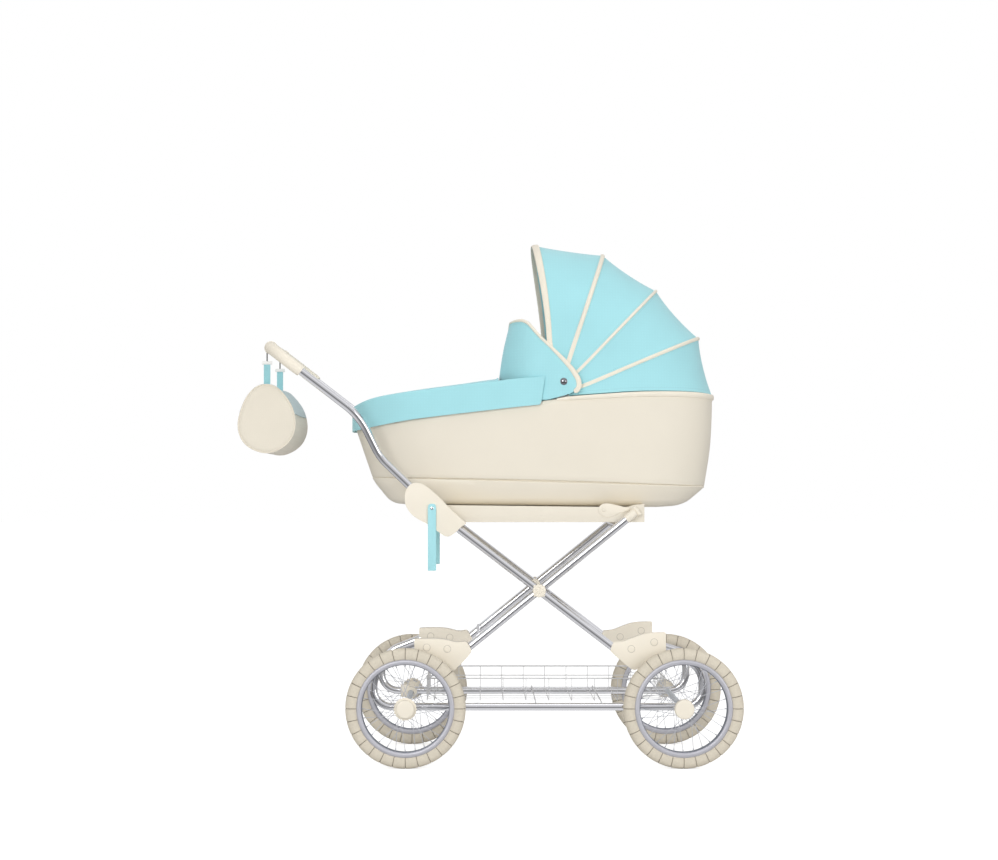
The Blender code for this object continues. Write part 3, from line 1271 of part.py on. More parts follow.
def build_bow(index, name, angle, radius, carrier):
    """Flat strip bent to an arch, drilled for the hood's pin near the foot of each leg."""
    half_width = bow_half_width(index)
    outer = [(half_width, -BOW_TAIL)] + arch(radius, half_width) + [(-half_width, -BOW_TAIL)]
    inner_half = half_width - BOW_THICKNESS
    inner = [(inner_half, -BOW_TAIL)] + arch(radius - BOW_THICKNESS, inner_half)
    inner.append((-inner_half, -BOW_TAIL))
    curve = bpy.data.curves.new(name, "CURVE")
    curve.dimensions = "2D"
    curve.fill_mode = "BOTH"
    curve.extrude = BOW_WIDTH / 2
    spline = curve.splines.new("POLY")
    outline = outer + inner[::-1]
    spline.points.add(len(outline) - 1)
    for point, (y, reach) in zip(spline.points, outline):
        point.co = (y, reach, 0.0, 1.0)
    spline.use_cyclic_u = True
    obj = add_object(name, curve, looks["cream"])
    turn = math.radians(angle)
    reach_way = Vector((math.cos(turn), 0.0, math.sin(turn)))
    across = Vector((0.0, 1.0, 0.0)).cross(reach_way)
    matrix = Matrix((Vector((0.0, 1.0, 0.0)), reach_way, across)).transposed().to_4x4()
    obj.matrix_world = Matrix.Translation((HOOD_PIVOT.x, 0.0, HOOD_PIVOT.y)) @ matrix
    body = as_mesh(obj)
    for side, _ in SIDES:
        ends = (side * (inner_half - 0.003), side * (half_width + 0.003))
        cut(body, bar_across("hole", HOOD_PIN_RADIUS + PIN_GAP, *ends, HOOD_PIVOT, steps=12))
    return attach(body, carrier)


def edge_on_bow(index, side_of_bow):
    """Edge of a panel beside a bow, clear of it by the panel gap."""
    _, angle, radius = BOWS[index]
    turn = math.radians(angle)
    reach_way = Vector((math.cos(turn), 0.0, math.sin(turn)))
    towards = Vector((-math.sin(turn), 0.0, math.cos(turn))) * side_of_bow
    half_width = bow_half_width(index)
    line = [(half_width, PANEL_START)] + arch(radius, half_width) + [(-half_width, PANEL_START)]
    centre = Vector((HOOD_PIVOT.x, 0.0, HOOD_PIVOT.y)) + towards * (BOW_WIDTH / 2 + PANEL_GAP)
    return [centre + reach_way * reach + Vector((0.0, y, 0.0)) for y, reach in line]


def edge_on_rim():
    """Edge of the lowest panel, just over the carrycot's rolled rim."""
    line = [(HOOD_BASE_HALF, PANEL_START)] + arch(HOOD_BASE_REACH, HOOD_BASE_HALF)
    line.append((-HOOD_BASE_HALF, PANEL_START))
    edge = []
    for y, reach in line:
        x = HOOD_PIVOT.x + reach
        edge.append(Vector((x, y, between(RIM_LINE, x) + ROLL_RISE + PANEL_RIM_GAP)))
    return edge


def build_panel(number, low_edge, high_edge, sag, carrier):
    """Cloth between two bows, drawn in towards the hood's axis half-way."""
    centre = Vector((HOOD_PIVOT.x, 0.0, HOOD_PIVOT.y))
    rows = []
    for column in range(PANEL_COLUMNS + 1):
        share = column / PANEL_COLUMNS
        row = []
        for low, high in zip(low_edge, high_edge):
            point = low.lerp(high, share)
            ray = Vector((point.x - centre.x, 0.0, point.z - centre.z))
            weight = min(max((ray.length - BOW_LEG) / 0.1, 0.0), 1.0)
            row.append(point - ray.normalized() * sag * weight * 4 * share * (1 - share))
        rows.append(row)
    name = f"hood_panel_{number}"
    panel = sheet(name, rows, PANEL_THICKNESS, looks["cyan_fabric"], lambda at: at - centre)
    return attach(panel, carrier)


def build_chassis():
    """The running gear and cross frame, and the empties that its joints turn on."""
    rear_frame = joint("rear_frame", (0.0, 0.0, 0.0))
    rising_frame = joint("rising_frame_axis", (REAR_PIVOT.x, 0.0, REAR_PIVOT.y), rear_frame)
    falling_frame = joint("falling_frame_axis", (CROSS.x, 0.0, CROSS.y), rising_frame)
    front_frame = joint("front_frame_axis", (FRONT_PIVOT.x, 0.0, FRONT_PIVOT.y), falling_frame)
    build_axle("rear_axle", REAR_AXLE_X, rear_frame)
    build_axle("front_axle", FRONT_AXLE_X, front_frame)
    for side, side_name in SIDES:
        build_wheel("rear", REAR_AXLE_X, side, side_name, rear_frame)
        build_wheel("front", FRONT_AXLE_X, side, side_name, front_frame)
        build_springs(side, side_name, rear_frame, front_frame)
        build_bracket(
            f"rear_bracket_{side_name}", REAR_BRACKET, REAR_WEB_TOP, (0.0, 0.0),
            (REAR_WALL_INNER_Y, REAR_WALL_OUTER_Y), REAR_PIVOT, REAR_RIVET, side, rear_frame,
        )
        build_bracket(
            f"front_bracket_{side_name}", FRONT_BRACKET, FRONT_WEB_TOP, (0.05, 0.05),
            (FRONT_INNER_Y, FRONT_INNER_Y + PLATE_WALL), FRONT_PIVOT, FRONT_RIVET, side, front_frame,
        )
        build_rising_tube(side, side_name, rising_frame)
        build_pivot_bolt(side, side_name, rising_frame)
        build_falling_tube(side, side_name, falling_frame)
        build_housing(side, side_name, falling_frame)
        lever_place = (LEVER_PIVOT.x, side * HOUSING_OUTER_Y, LEVER_PIVOT.y)
        lever = joint(f"lever_{side_name}_axis", lever_place, falling_frame)
        build_lever(side, side_name, lever)
    build_basket(rear_frame)
    build_brake(rear_frame)
    support_z = BASE_BOTTOM_Z - GAP - SUPPORT_RADIUS
    rear_end = FRONT_INNER_Y - GAP
    place = (REAR_SUPPORT_X, support_z)
    ends = (-rear_end, rear_end)
    attach(bar_across("rear_support_tube", SUPPORT_RADIUS, *ends, place, looks["chrome"]), falling_frame)
    front_end = RISING_Y - TUBE_RADIUS - GAP
    place = (FRONT_SUPPORT_X, support_z)
    ends = (-front_end, front_end)
    attach(bar_across("front_support_tube", SUPPORT_RADIUS, *ends, place, looks["chrome"]), rising_frame)
    along = direction(RISE_ANGLE)
    tie_place = CROSS + along * TIE_ALONG + Vector((-along.y, along.x)) * TIE_ABOVE
    tie_end = RISING_Y - math.sqrt(TUBE_RADIUS ** 2 - (TIE_ABOVE - TIE_RADIUS) ** 2) - GAP
    tie = bar_across("lower_tie_bar", TIE_RADIUS, -tie_end, tie_end, tie_place, looks["chrome"], 12)
    attach(tie, rising_frame)
    handle = joint("handle_axis", (HANDLE_PIVOT.x, 0.0, HANDLE_PIVOT.y), falling_frame)
    build_handle(handle)
    build_bag(joint("bag_axis", (HANDLE_BAR.x, 0.0, HANDLE_BAR.y), handle))
    return rear_frame


def build_carrycot(rear_frame):
    """The lift-off carrycot with its hood, flap, apron and latches."""
    carrycot = joint("carrycot", (0.0, 0.0, 0.0), rear_frame)
    build_cot_shell(carrycot)
    build_cot_tub(carrycot)
    build_base(carrycot)
    build_mattress(carrycot)
    build_apron(carrycot)
    flap = joint("flap_axis", (FLAP_HINGE.x, 0.0, FLAP_HINGE.y), carrycot)
    build_flap(flap)
    for side, side_name in SIDES:
        latch_place = (LATCH_PIVOT.x, side * BASE_HALF, LATCH_PIVOT.y)
        build_latch(side, side_name, joint(f"latch_{side_name}_axis", latch_place, carrycot))
        build_stud(side, side_name, flap)
    carrier = carrycot
    low_edge = edge_on_rim()
    for index, (name, angle, radius) in enumerate(BOWS):
        high_edge = edge_on_bow(index, -1)
        build_panel(len(BOWS) - index, low_edge, high_edge, PANEL_SAG[index], carrier)
        carrier = joint(f"{name}_axis", (HOOD_PIVOT.x, 0.0, HOOD_PIVOT.y), carrier)
        build_bow(index, name, angle, radius, carrier)
        low_edge = edge_on_bow(index, 1)


SIDES = ((-1, "right"), (1, "left"))

clear_scene()
parts = collection("baby_carriage")
cutters = collection("cutters")
looks = {
    "cream": material("cream_plastic", CREAM, 0.45),
    "light_cream": material("light_cream_plastic", LIGHT_CREAM, 0.45),
    "cyan_plastic": material("cyan_plastic", CYAN, 0.45),
    "cyan_fabric": material("cyan_fabric", CYAN, 0.85),
    "bag": material("cream_fabric", CREAM, 0.85),
    "mattress": material("white_fabric", WHITE, 0.9),
    "clip": material("white_plastic", WHITE, 0.4),
    "chrome": material("chrome_tube", CHROME, 0.15, 1.0),
    "rim": material("polished_rim", CHROME, 0.2, 1.0),
    "wire": material("grey_wire", WIRE, 0.4, 0.6),
    "tyre": material("cream_tyre", TYRE, 0.8),
    "dark": material("dark_stud", DARK, 0.25, 1.0),
}
build_carrycot(build_chassis())
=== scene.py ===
"""Baby carriage, dressed: cloth hood, apron and flap, moulded carrycot, chrome frame and spoked wheels."""

import math

import bmesh
import bpy
from bpy.props import FloatProperty, FloatVectorProperty, IntProperty, PointerProperty
from mathutils import Matrix, Vector


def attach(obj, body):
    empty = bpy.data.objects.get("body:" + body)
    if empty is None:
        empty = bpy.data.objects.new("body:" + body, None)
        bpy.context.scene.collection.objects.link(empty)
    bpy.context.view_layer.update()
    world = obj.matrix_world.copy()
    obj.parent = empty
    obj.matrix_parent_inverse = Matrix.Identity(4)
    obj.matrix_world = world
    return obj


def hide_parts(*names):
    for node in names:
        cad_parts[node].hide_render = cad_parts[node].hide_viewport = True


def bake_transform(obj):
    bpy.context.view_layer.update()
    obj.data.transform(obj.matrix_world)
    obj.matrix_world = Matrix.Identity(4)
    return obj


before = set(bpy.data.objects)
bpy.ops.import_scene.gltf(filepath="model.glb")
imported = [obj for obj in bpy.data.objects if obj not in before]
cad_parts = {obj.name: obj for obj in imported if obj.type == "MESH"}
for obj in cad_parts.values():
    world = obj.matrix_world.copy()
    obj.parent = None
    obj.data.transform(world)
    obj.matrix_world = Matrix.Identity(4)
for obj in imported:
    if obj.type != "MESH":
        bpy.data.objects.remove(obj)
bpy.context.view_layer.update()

bl_info = {
    "name": "Baby Carriage Dressing",
    "version": (1, 0, 0),
    "blender": (4, 5, 0),
    "location": "3D View > Sidebar > Carriage",
    "description": "Models the cloth, tubes, wheels and finishes of a folding baby carriage",
    "category": "Object",
}

SIDES = (("right", -1), ("left", 1))

# Joints and lines of the frame, as (x, z)
REAR_PIVOT = Vector((-0.100, 0.2855))
FRONT_PIVOT = Vector((0.345, 0.2855))
CROSS = Vector((0.1225, 0.4260))
FALL = Vector((math.cos(math.radians(-37.56)), math.sin(math.radians(-37.56))))
RISE = Vector((math.cos(math.radians(39.04)), math.sin(math.radians(39.04))))
HANDLE_PIVOT = Vector((-0.160, 0.650))
LEVER_PIVOT = Vector((-0.1368, 0.6259))
LATCH_PIVOT = Vector((0.2802, 0.622))
HOOD_PIVOT = Vector((0.1828, 0.9337))
HOOD_CENTRE = Vector((HOOD_PIVOT.x, 0, HOOD_PIVOT.y))
HANDLE_BAR = Vector((-0.5313, 1.017))
HANDLE_BEND = (-0.2635, 0.7498)
AXLES = (("rear", -0.200), ("front", 0.4685))
WHEELS = tuple((end, x, side_name, side) for end, x in AXLES for side_name, side in SIDES)

# Layers of the frame, outwards from the centre plane
RISING_Y = 0.2101
SPRING_Y = 0.2320
HANDLE_Y = 0.2335
HOUSING_LAYER = (0.2199, 0.2475)
HOUSING_SLOT = (0.2225, 0.2445)
LEVER_LAYER = (0.2478, 0.2518)
LATCH_LAYER = (0.1983, 0.2003)
HINGE_LAYER = (0.1967, 0.1994)
STUD_Y = 0.2163

# Outlines, as (x, z) with an optional share that keeps a corner crisp
REAR_BRACKET = (
    (-0.180, 0.3085, 0.1), (-0.161, 0.3100), (-0.115, 0.3100), (-0.0953, 0.3056), (-0.0769, 0.3005),
    (-0.0559, 0.3036, 0.2), (-0.0494, 0.2970, 0.3), (-0.0405, 0.2821, 0.4), (-0.0455, 0.2717),
    (-0.0665, 0.2495), (-0.0849, 0.2315, 0.12), (-0.1795, 0.2862, 0.1),
)
FRONT_BRACKET = (
    (0.2935, 0.2815, 0.3), (0.3010, 0.3015, 0.2), (0.3256, 0.3030), (0.3480, 0.3125), (0.3705, 0.3208),
    (0.3930, 0.3246), (0.4290, 0.3250, 0.06), (0.4290, 0.2700, 0.10), (0.3540, 0.2343, 0.10),
    (0.3450, 0.2365, 0.3), (0.3060, 0.2690),
)
REAR_INSIDE = (
    (-0.200, 0.210), (-0.200, 0.3055), (-0.161, 0.3067), (-0.115, 0.3067), (-0.0953, 0.3021),
    (-0.0769, 0.297), (-0.020, 0.297), (-0.020, 0.210),
)
FRONT_INSIDE = (
    (0.272, 0.217), (0.272, 0.350), (0.3256, 0.350), (0.3256, 0.3004), (0.3705, 0.3161), (0.3705, 0.366),
    (0.450, 0.366), (0.450, 0.217),
)
HOUSING = (
    (-0.1844, 0.6875), (-0.167, 0.6875), (-0.1499, 0.6788), (-0.1276, 0.6608), (-0.103, 0.6350),
    (-0.0783, 0.6103), (-0.0530, 0.5889, 0.12), (-0.066, 0.5817), (-0.0771, 0.5694), (-0.0979, 0.5540),
    (-0.1153, 0.5638), (-0.1472, 0.5872), (-0.167, 0.5972), (-0.1860, 0.6095), (-0.2002, 0.6298),
    (-0.2034, 0.6469), (-0.2022, 0.6643), (-0.1959, 0.6770),
)
LATCH = (
    (0.2685, 0.6150), (0.2685, 0.6280), (0.2755, 0.6355), (0.2897, 0.6380), (0.3120, 0.6330),
    (0.3430, 0.6254, 0.3), (0.3445, 0.6200, 0.3), (0.3180, 0.6130), (0.2919, 0.6015), (0.2755, 0.6080),
)
EGG = (
    (-0.5885, 0.9013), (-0.6036, 0.8681), (-0.6134, 0.8282), (-0.6036, 0.7916), (-0.5805, 0.7698),
    (-0.5423, 0.7575), (-0.5079, 0.7686), (-0.4809, 0.7916), (-0.4689, 0.8282), (-0.4769, 0.8708),
    (-0.4967, 0.9013), (-0.5230, 0.9272), (-0.5620, 0.9272),
)

# Carrycot lines: ends and sides as (share of the wall's height, x or half width), others as (x, z)
SHELL_REAR = ((0.0, -0.2908), (0.35, -0.3055), (0.7, -0.3200), (1.0, -0.3325))
SHELL_FRONT = ((0.0, 0.5412), (0.42, 0.5553), (0.76, 0.5600), (1.0, 0.5610))
SHELL_SIDE = ((0.0, 0.2025), (0.5, 0.2085), (1.0, 0.2125))
RIM_LINE = (
    (-0.336, 0.822), (-0.200, 0.843), (0.0, 0.869), (0.1687, 0.891), (0.280, 0.899),
    (0.382, 0.9048), (0.503, 0.9048), (0.566, 0.900),
)
SEAM_LINE = ((-0.2908, 0.7012), (0.1737, 0.6927), (0.5412, 0.6793))
TUB_LEVELS = (
    ((-0.2908, 0.7012), (0.5412, 0.6793), 0.2025), ((-0.2810, 0.6835), (0.5350, 0.6715), 0.1980),
    ((-0.2681, 0.6679), (0.5250, 0.6625), 0.1915), ((-0.2600, 0.6575), (0.5125, 0.6520), 0.1850),
    ((-0.2490, 0.6460), (0.4980, 0.6410), 0.1770), ((-0.2370, 0.6390), (0.4800, 0.6335), 0.1665),
    ((-0.2255, 0.6358), (0.4618, 0.6298), 0.1550), ((-0.2114, 0.6344), (0.4265, 0.6273), 0.1350),
)
APRON_TOP_MID = (
    (-0.345, 0.887), (-0.3034, 0.9041), (-0.2328, 0.9167), (-0.0916, 0.9344), (0.0294, 0.9485),
)
APRON_TOP_SIDE = (
    (-0.345, 0.874), (-0.293, 0.8935), (-0.225, 0.9060), (-0.0889, 0.9230), (0.0277, 0.9370),
    (0.1371, 0.9470),
)
APRON_HEM = (
    (-0.345, 0.8141), (-0.2891, 0.8243), (-0.1908, 0.8413), (-0.0209, 0.8616), (0.1371, 0.8795),
)
FLAP_TOP = (
    (0.0291, 1.0815), (0.0450, 1.0835), (0.0584, 1.0835), (0.0700, 1.0825), (0.0894, 1.0735),
    (0.1107, 1.0545), (0.1340, 1.0340), (0.1572, 1.0119), (0.1804, 0.9887), (0.1998, 0.9670),
    (0.2110, 0.9505), (0.2150, 0.9400), (0.2160, 0.9330),
)
FLAP_BOTTOM = (
    (0.0291, 0.9330), (0.060, 0.9200), (0.1000, 0.8985), (0.1342, 0.8890), (0.1653, 0.8948),
    (0.1923, 0.9026), (0.2060, 0.9085), (0.2115, 0.9140), (0.2150, 0.9220), (0.2160, 0.9280),
)
BOWS = (
    ("rib_3", "hood_rib_3", 18.8, 0.365, 0.2030), ("rib_2", "hood_rib_2", 44.7, 0.336, 0.2064),
    ("rib_1", "hood_rib_1", 71.7, 0.342, 0.2098), ("front_bow", "front_bow", 99.9, 0.359, 0.2132),
)
CORD_HALF_WIDTHS = (0.0046, 0.0039, 0.0055)
PANEL_SAG = (0.0050, 0.0060, 0.0050, 0.0025)
# How far each bow's line leaves its plane, as (reach, offset)
BOW_DRIFTS = (
    ((0.0, 0.0), (0.03, -0.0250), (0.047, -0.0250), (0.20, -0.0135), (0.37, -0.0010)),
    ((0.0, 0.0), (0.03, -0.0060), (0.05, -0.0065), (0.19, -0.0033), (0.34, 0.0)),
    ((0.0, 0.0), (0.03, 0.0040), (0.20, 0.0040), (0.35, 0.0030)),
    ((0.0, 0.0), (0.03, 0.0170), (0.10, 0.0200), (0.138, 0.0157), (0.218, 0.0102), (0.297, 0.0080),
     (0.36, 0.0070)),
)
LOOKS = {}


class CarriageSizes(bpy.types.PropertyGroup):
    """Sizes of the dressed pieces"""

    tube_radius: FloatProperty(
        name="Tube radius", description="Frame and spring tubes", default=0.0095, unit="LENGTH"
    )
    wheel_radius: FloatProperty(
        name="Wheel radius", description="Over the tyre", default=0.145, unit="LENGTH"
    )
    track_half: FloatProperty(
        name="Half track", description="Centre plane to tyre", default=0.275, unit="LENGTH"
    )
    tread_blocks: IntProperty(name="Tread blocks", description="Blocks round each tyre", default=28)
    spokes: IntProperty(name="Spokes", description="Spokes in each wheel", default=28)
    handle_radius: FloatProperty(
        name="Handle tube radius", description="Chrome part", default=0.0098, unit="LENGTH"
    )
    grip_radius: FloatProperty(
        name="Grip radius", description="Over the moulded grip", default=0.0145, unit="LENGTH"
    )
    cloth: FloatProperty(
        name="Cloth thickness", description="Hood and flap cloth", default=0.0016, unit="LENGTH"
    )
    wire: FloatProperty(name="Basket wire radius", description="Thin wires", default=0.0007, unit="LENGTH")
    basket_hoops: IntProperty(
        name="Basket hoops", description="Hoops between the basket's ends", default=10
    )


class CarriageColours(bpy.types.PropertyGroup):
    """Colours of the finishes"""

    cream: FloatVectorProperty(
        name="Cream", description="Carrycot wall", subtype="COLOR", default=(0.810, 0.753, 0.640)
    )
    moulding: FloatVectorProperty(
        name="Mouldings", description="Brackets, caps and trim", subtype="COLOR",
        default=(0.871, 0.807, 0.686),
    )
    cyan: FloatVectorProperty(
        name="Light blue", description="Cloth and levers", subtype="COLOR", default=(0.392, 0.745, 0.800)
    )
    tyre: FloatVectorProperty(
        name="Tyre", description="Cream rubber", subtype="COLOR", default=(0.700, 0.640, 0.530)
    )
    metal: FloatVectorProperty(
        name="Chrome", description="Plated tubes", subtype="COLOR", default=(0.78, 0.78, 0.80)
    )
    white: FloatVectorProperty(
        name="White", description="Lining and clips", subtype="COLOR", default=(0.85, 0.85, 0.83)
    )


def sizes():
    return bpy.context.scene.carriage_sizes


def colours():
    return bpy.context.scene.carriage_colours


# Curves and outlines

# The least distance between two points of an outline
APART = 0.0002


def between(line, x):
    """Smooth value at x on a line of (x, value) points."""
    if x <= line[0][0]:
        return line[0][1]
    if x >= line[-1][0]:
        return line[-1][1]
    slopes = []
    for index in range(len(line)):
        low = line[max(index - 1, 0)]
        high = line[min(index + 1, len(line) - 1)]
        slopes.append((high[1] - low[1]) / (high[0] - low[0]))
    for index in range(len(line) - 1):
        (x0, v0), (x1, v1) = line[index], line[index + 1]
        if x <= x1:
            break
    width = x1 - x0
    t = (x - x0) / width
    rest = 1 - t
    return (
        v0 * (1 + 2 * t) * rest * rest + slopes[index] * width * t * rest * rest
        + v1 * t * t * (3 - 2 * t) - slopes[index + 1] * width * t * t * rest
    )


def direction(degrees):
    angle = math.radians(degrees)
    return Vector((math.cos(angle), math.sin(angle)))


def superellipse(turn, power):
    c = math.cos(turn)
    s = math.sin(turn)
    return math.copysign(abs(c) ** (2 / power), c), math.copysign(abs(s) ** (2 / power), s)


def soften(corners, steps=5):
    """Closed outline with each corner drawn as a curve, which starts at the corner's share of its edges."""
    outline = []
    count = len(corners)
    for index, corner in enumerate(corners):
        place = Vector(corner[:2])
        share = corner[2] if len(corner) > 2 else 0.5
        before = Vector(corners[index - 1][:2])
        after = Vector(corners[(index + 1) % count][:2])
        start = place.lerp(before, share)
        end = place.lerp(after, share)
        for step in range(steps + 1):
            t = step / steps
            point = start.lerp(place, t).lerp(place.lerp(end, t), t)
            if not outline or (Vector(outline[-1]) - point).length > APART:
                outline.append(tuple(point))
    if (Vector(outline[0]) - Vector(outline[-1])).length < APART:
        outline.pop()
    return outline


def rounded_path(corners, fillets, steps=12):
    """Polyline through 3D corners with an arc at each inner corner."""
    points = [Vector(corners[0])]
    for before, corner, after, radius in zip(corners, corners[1:], corners[2:], fillets):
        corner = Vector(corner)
        back = (Vector(before) - corner).normalized()
        onward = (Vector(after) - corner).normalized()
        half = back.angle(onward) / 2
        centre = corner + (back + onward).normalized() * radius / math.sin(half)
        start = corner + back * radius / math.tan(half) - centre
        end = corner + onward * radius / math.tan(half) - centre
        sweep = start.angle(end)
        for step in range(steps + 1):
            share = step / steps
            arc = start * math.sin((1 - share) * sweep) + end * math.sin(share * sweep)
            points.append(centre + arc / math.sin(sweep))
    points.append(Vector(corners[-1]))
    return points


def at(x, y, z):
    return Vector((x, y, z))


def clamp(value):
    return min(max(value, 0.0), 1.0)


def onward_at(line, index):
    """The way along a line of points at one of them."""
    return (line[min(index + 1, len(line) - 1)] - line[max(index - 1, 0)]).normalized()


def run_lengths(line):
    """How far along the line each of its points lies."""
    lengths = [0.0]
    for before, after in zip(line, line[1:]):
        lengths.append(lengths[-1] + (after - before).length)
    return lengths


# Modelling steps

def deselect():
    bpy.ops.object.select_all(action="DESELECT")


def settle():
    """Puts the object's place, turn and scale into its mesh."""
    bpy.ops.object.transform_apply(location=True, rotation=True, scale=True)


def edit_all():
    bpy.ops.object.mode_set(mode="EDIT")
    bpy.ops.mesh.select_all(action="SELECT")


def leave_edit():
    bpy.ops.object.mode_set(mode="OBJECT")


def only(obj):
    deselect()
    obj.select_set(True)
    bpy.context.view_layer.objects.active = obj
    return obj


def named(name):
    obj = bpy.context.object
    obj.name = name
    obj.data.name = name
    return obj


def tidy_mesh(obj, distance=0.00002):
    """Merges doubles and turns every face outwards."""
    only(obj)
    edit_all()
    bpy.ops.mesh.remove_doubles(threshold=distance)
    bpy.ops.mesh.normals_make_consistent(inside=False)
    leave_edit()
    return obj


def wire_path(name, points, closed=False):
    """A line of edges, extruded vertex by vertex from one point."""
    deselect()
    bpy.ops.mesh.primitive_plane_add(size=0.01, location=(0, 0, 0))
    obj = named(name)
    bpy.ops.object.mode_set(mode="EDIT")
    bpy.ops.mesh.select_mode(type="VERT")
    bpy.ops.mesh.merge(type="CENTER")
    bpy.ops.transform.translate(value=tuple(points[0]))
    for before, after in zip(points, points[1:]):
        bpy.ops.mesh.extrude_region_move(TRANSFORM_OT_translate={"value": tuple(after - before)})
    if closed:
        shape = bmesh.from_edit_mesh(obj.data)
        for vert in shape.verts:
            vert.select = len(vert.link_edges) == 1
        shape.select_flush_mode()
        bmesh.update_edit_mesh(obj.data)
        bpy.ops.mesh.edge_face_add()
    leave_edit()
    return obj


def bent_bar(name, route, radius, sides=24, closed=False):
    """A round bar or wire along a route."""
    wire_path(name, route, closed)
    bpy.ops.object.convert(target="CURVE")
    curve = bpy.context.object.data
    curve.dimensions = "3D"
    curve.bevel_depth = radius
    curve.bevel_resolution = (sides - 4) // 2
    curve.use_fill_caps = not closed
    bpy.ops.object.convert(target="MESH")
    return tidy_mesh(bpy.context.object)


def side_bar(name, low, high, y, radius, sides=24):
    """A straight bar between two (x, z) places in the plane at y."""
    return bent_bar(name, [at(low[0], y, low[1]), at(high[0], y, high[1])], radius, sides)


def cross_bar(name, place, inner, outer, radius, sides=16):
    """A straight bar or pin across the carriage at an (x, z) place."""
    return bent_bar(name, [at(place[0], inner, place[1]), at(place[0], outer, place[1])], radius, sides)


def spun(name, profile, centre, side, steps, closed=False):
    """A (radius, outward) profile turned round the cross axis through centre."""
    points = [at(radius, side * outward, 0.0) for radius, outward in profile]
    obj = wire_path(name, points, closed)
    edit_all()
    bpy.ops.mesh.spin(steps=steps, angle=2 * math.pi, center=(0, 0, 0), axis=(0, 1, 0))
    leave_edit()
    tidy_mesh(obj)
    obj.location = centre
    settle()
    return obj


def ring_body(name, rings, ends="fill"):
    """Rings of equally many points, each extruded from the one before, with ends filled, bridged or open."""
    deselect()
    bpy.ops.mesh.primitive_circle_add(
        vertices=len(rings[0]), radius=1.0, fill_type="NOTHING", location=(0, 0, 0)
    )
    obj = named(name)
    bpy.ops.object.mode_set(mode="EDIT")
    bpy.ops.mesh.select_mode(type="EDGE")
    bpy.ops.mesh.select_all(action="SELECT")
    shape = bmesh.from_edit_mesh(obj.data)
    place = shape.verts.layers.int.new("place")
    for index, vert in enumerate(shape.verts):
        vert[place] = index
        vert.co = rings[0][index]
    bmesh.update_edit_mesh(obj.data)
    for ring in rings[1:]:
        bpy.ops.mesh.extrude_region_move()
        shape = bmesh.from_edit_mesh(obj.data)
        place = shape.verts.layers.int["place"]
        for vert in shape.verts:
            if vert.select:
                vert.co = ring[vert[place]]
        bmesh.update_edit_mesh(obj.data)
    if ends != "open":
        bpy.ops.mesh.select_all(action="DESELECT")
        bpy.ops.mesh.select_non_manifold(extend=False)
        if ends == "fill":
            bpy.ops.mesh.fill_holes(sides=0)
        else:
            bpy.ops.mesh.bridge_edge_loops()
    leave_edit()
    obj.data.attributes.remove(obj.data.attributes["place"])
    if ends != "open":
        tidy_mesh(obj)
    return obj


def swept(name, frames, section, ends="fill"):
    """A section of (across, up) points carried along frames of (origin, across, up)."""
    rings = [[origin + across * a + up * u for a, u in section] for origin, across, up in frames]
    return ring_body(name, rings, ends)


def oval(half_across, half_up, count=14, turn=0.5):
    """Points round an oval. Turn is a share of the step between two points."""
    angles = [2 * math.pi * (i + turn) / count for i in range(count)]
    return [(half_across * math.cos(angle), half_up * math.sin(angle)) for angle in angles]


def cloth_grid(name, rows):
    """An open sheet of cloth through rows of points."""
    across = len(rows[0])
    deselect()
    bpy.ops.mesh.primitive_grid_add(
        x_subdivisions=across - 1, y_subdivisions=len(rows) - 1, size=2, location=(0, 0, 0)
    )
    obj = named(name)
    if len(obj.data.vertices) != across * len(rows):
        raise RuntimeError(f"{name}: {len(obj.data.vertices)} grid points for {across * len(rows)}")
    for index, vert in enumerate(obj.data.vertices):
        vert.co = rows[index // across][index % across]
    return obj


def face_outwards(obj, outward):
    """Turns a sheet's faces so that the middle one looks along outward(centre)."""
    face = obj.data.polygons[len(obj.data.polygons) // 2]
    if face.normal.dot(outward(face.center)) < 0:
        only(obj)
        edit_all()
        bpy.ops.mesh.flip_normals()
        leave_edit()
    return obj


def plate(name, outline, inner, outer, side, bevel=0.0, segments=3):
    """A flat (x, z) outline, extruded from inner to outer on one side, with rounded edges."""
    deselect()
    bpy.ops.mesh.primitive_circle_add(vertices=len(outline), radius=1.0, fill_type="NGON", location=(0, 0, 0))
    obj = named(name)
    for vert, (x, z) in zip(obj.data.vertices, outline):
        vert.co = (x, side * inner, z)
    edit_all()
    bpy.ops.mesh.extrude_region_move(TRANSFORM_OT_translate={"value": (0, side * (outer - inner), 0)})
    leave_edit()
    tidy_mesh(obj)
    if bevel:
        round_edges(obj, bevel, segments)
    return obj


def shaped_by(obj, kind, **values):
    """Gives the piece a modifier and applies it."""
    modifier = obj.modifiers.new(kind.title(), kind)
    for key, value in values.items():
        setattr(modifier, key, value)
    only(obj)
    bpy.ops.object.modifier_apply(modifier=modifier.name)
    return obj


def round_edges(obj, width, segments=3, angle=35):
    return shaped_by(
        obj, "BEVEL", width=width, segments=segments, limit_method="ANGLE", angle_limit=math.radians(angle)
    )


def block(name, low, high, bevel=0.0, segments=3):
    deselect()
    low = Vector(low)
    high = Vector(high)
    bpy.ops.mesh.primitive_cube_add(size=1.0, location=tuple((low + high) / 2), scale=tuple(high - low))
    obj = named(name)
    settle()
    if bevel:
        round_edges(obj, bevel, segments)
    return obj


def carve(body, tool):
    shaped_by(body, "BOOLEAN", operation="DIFFERENCE", object=tool, solver="EXACT")
    discard(tool)
    return body


def thicken(obj, thickness):
    """Gives a sheet its thickness, inwards from its face."""
    return shaped_by(obj, "SOLIDIFY", thickness=thickness, offset=-1.0, use_even_offset=True)


def discard(obj):
    bpy.data.objects.remove(obj, do_unlink=True)


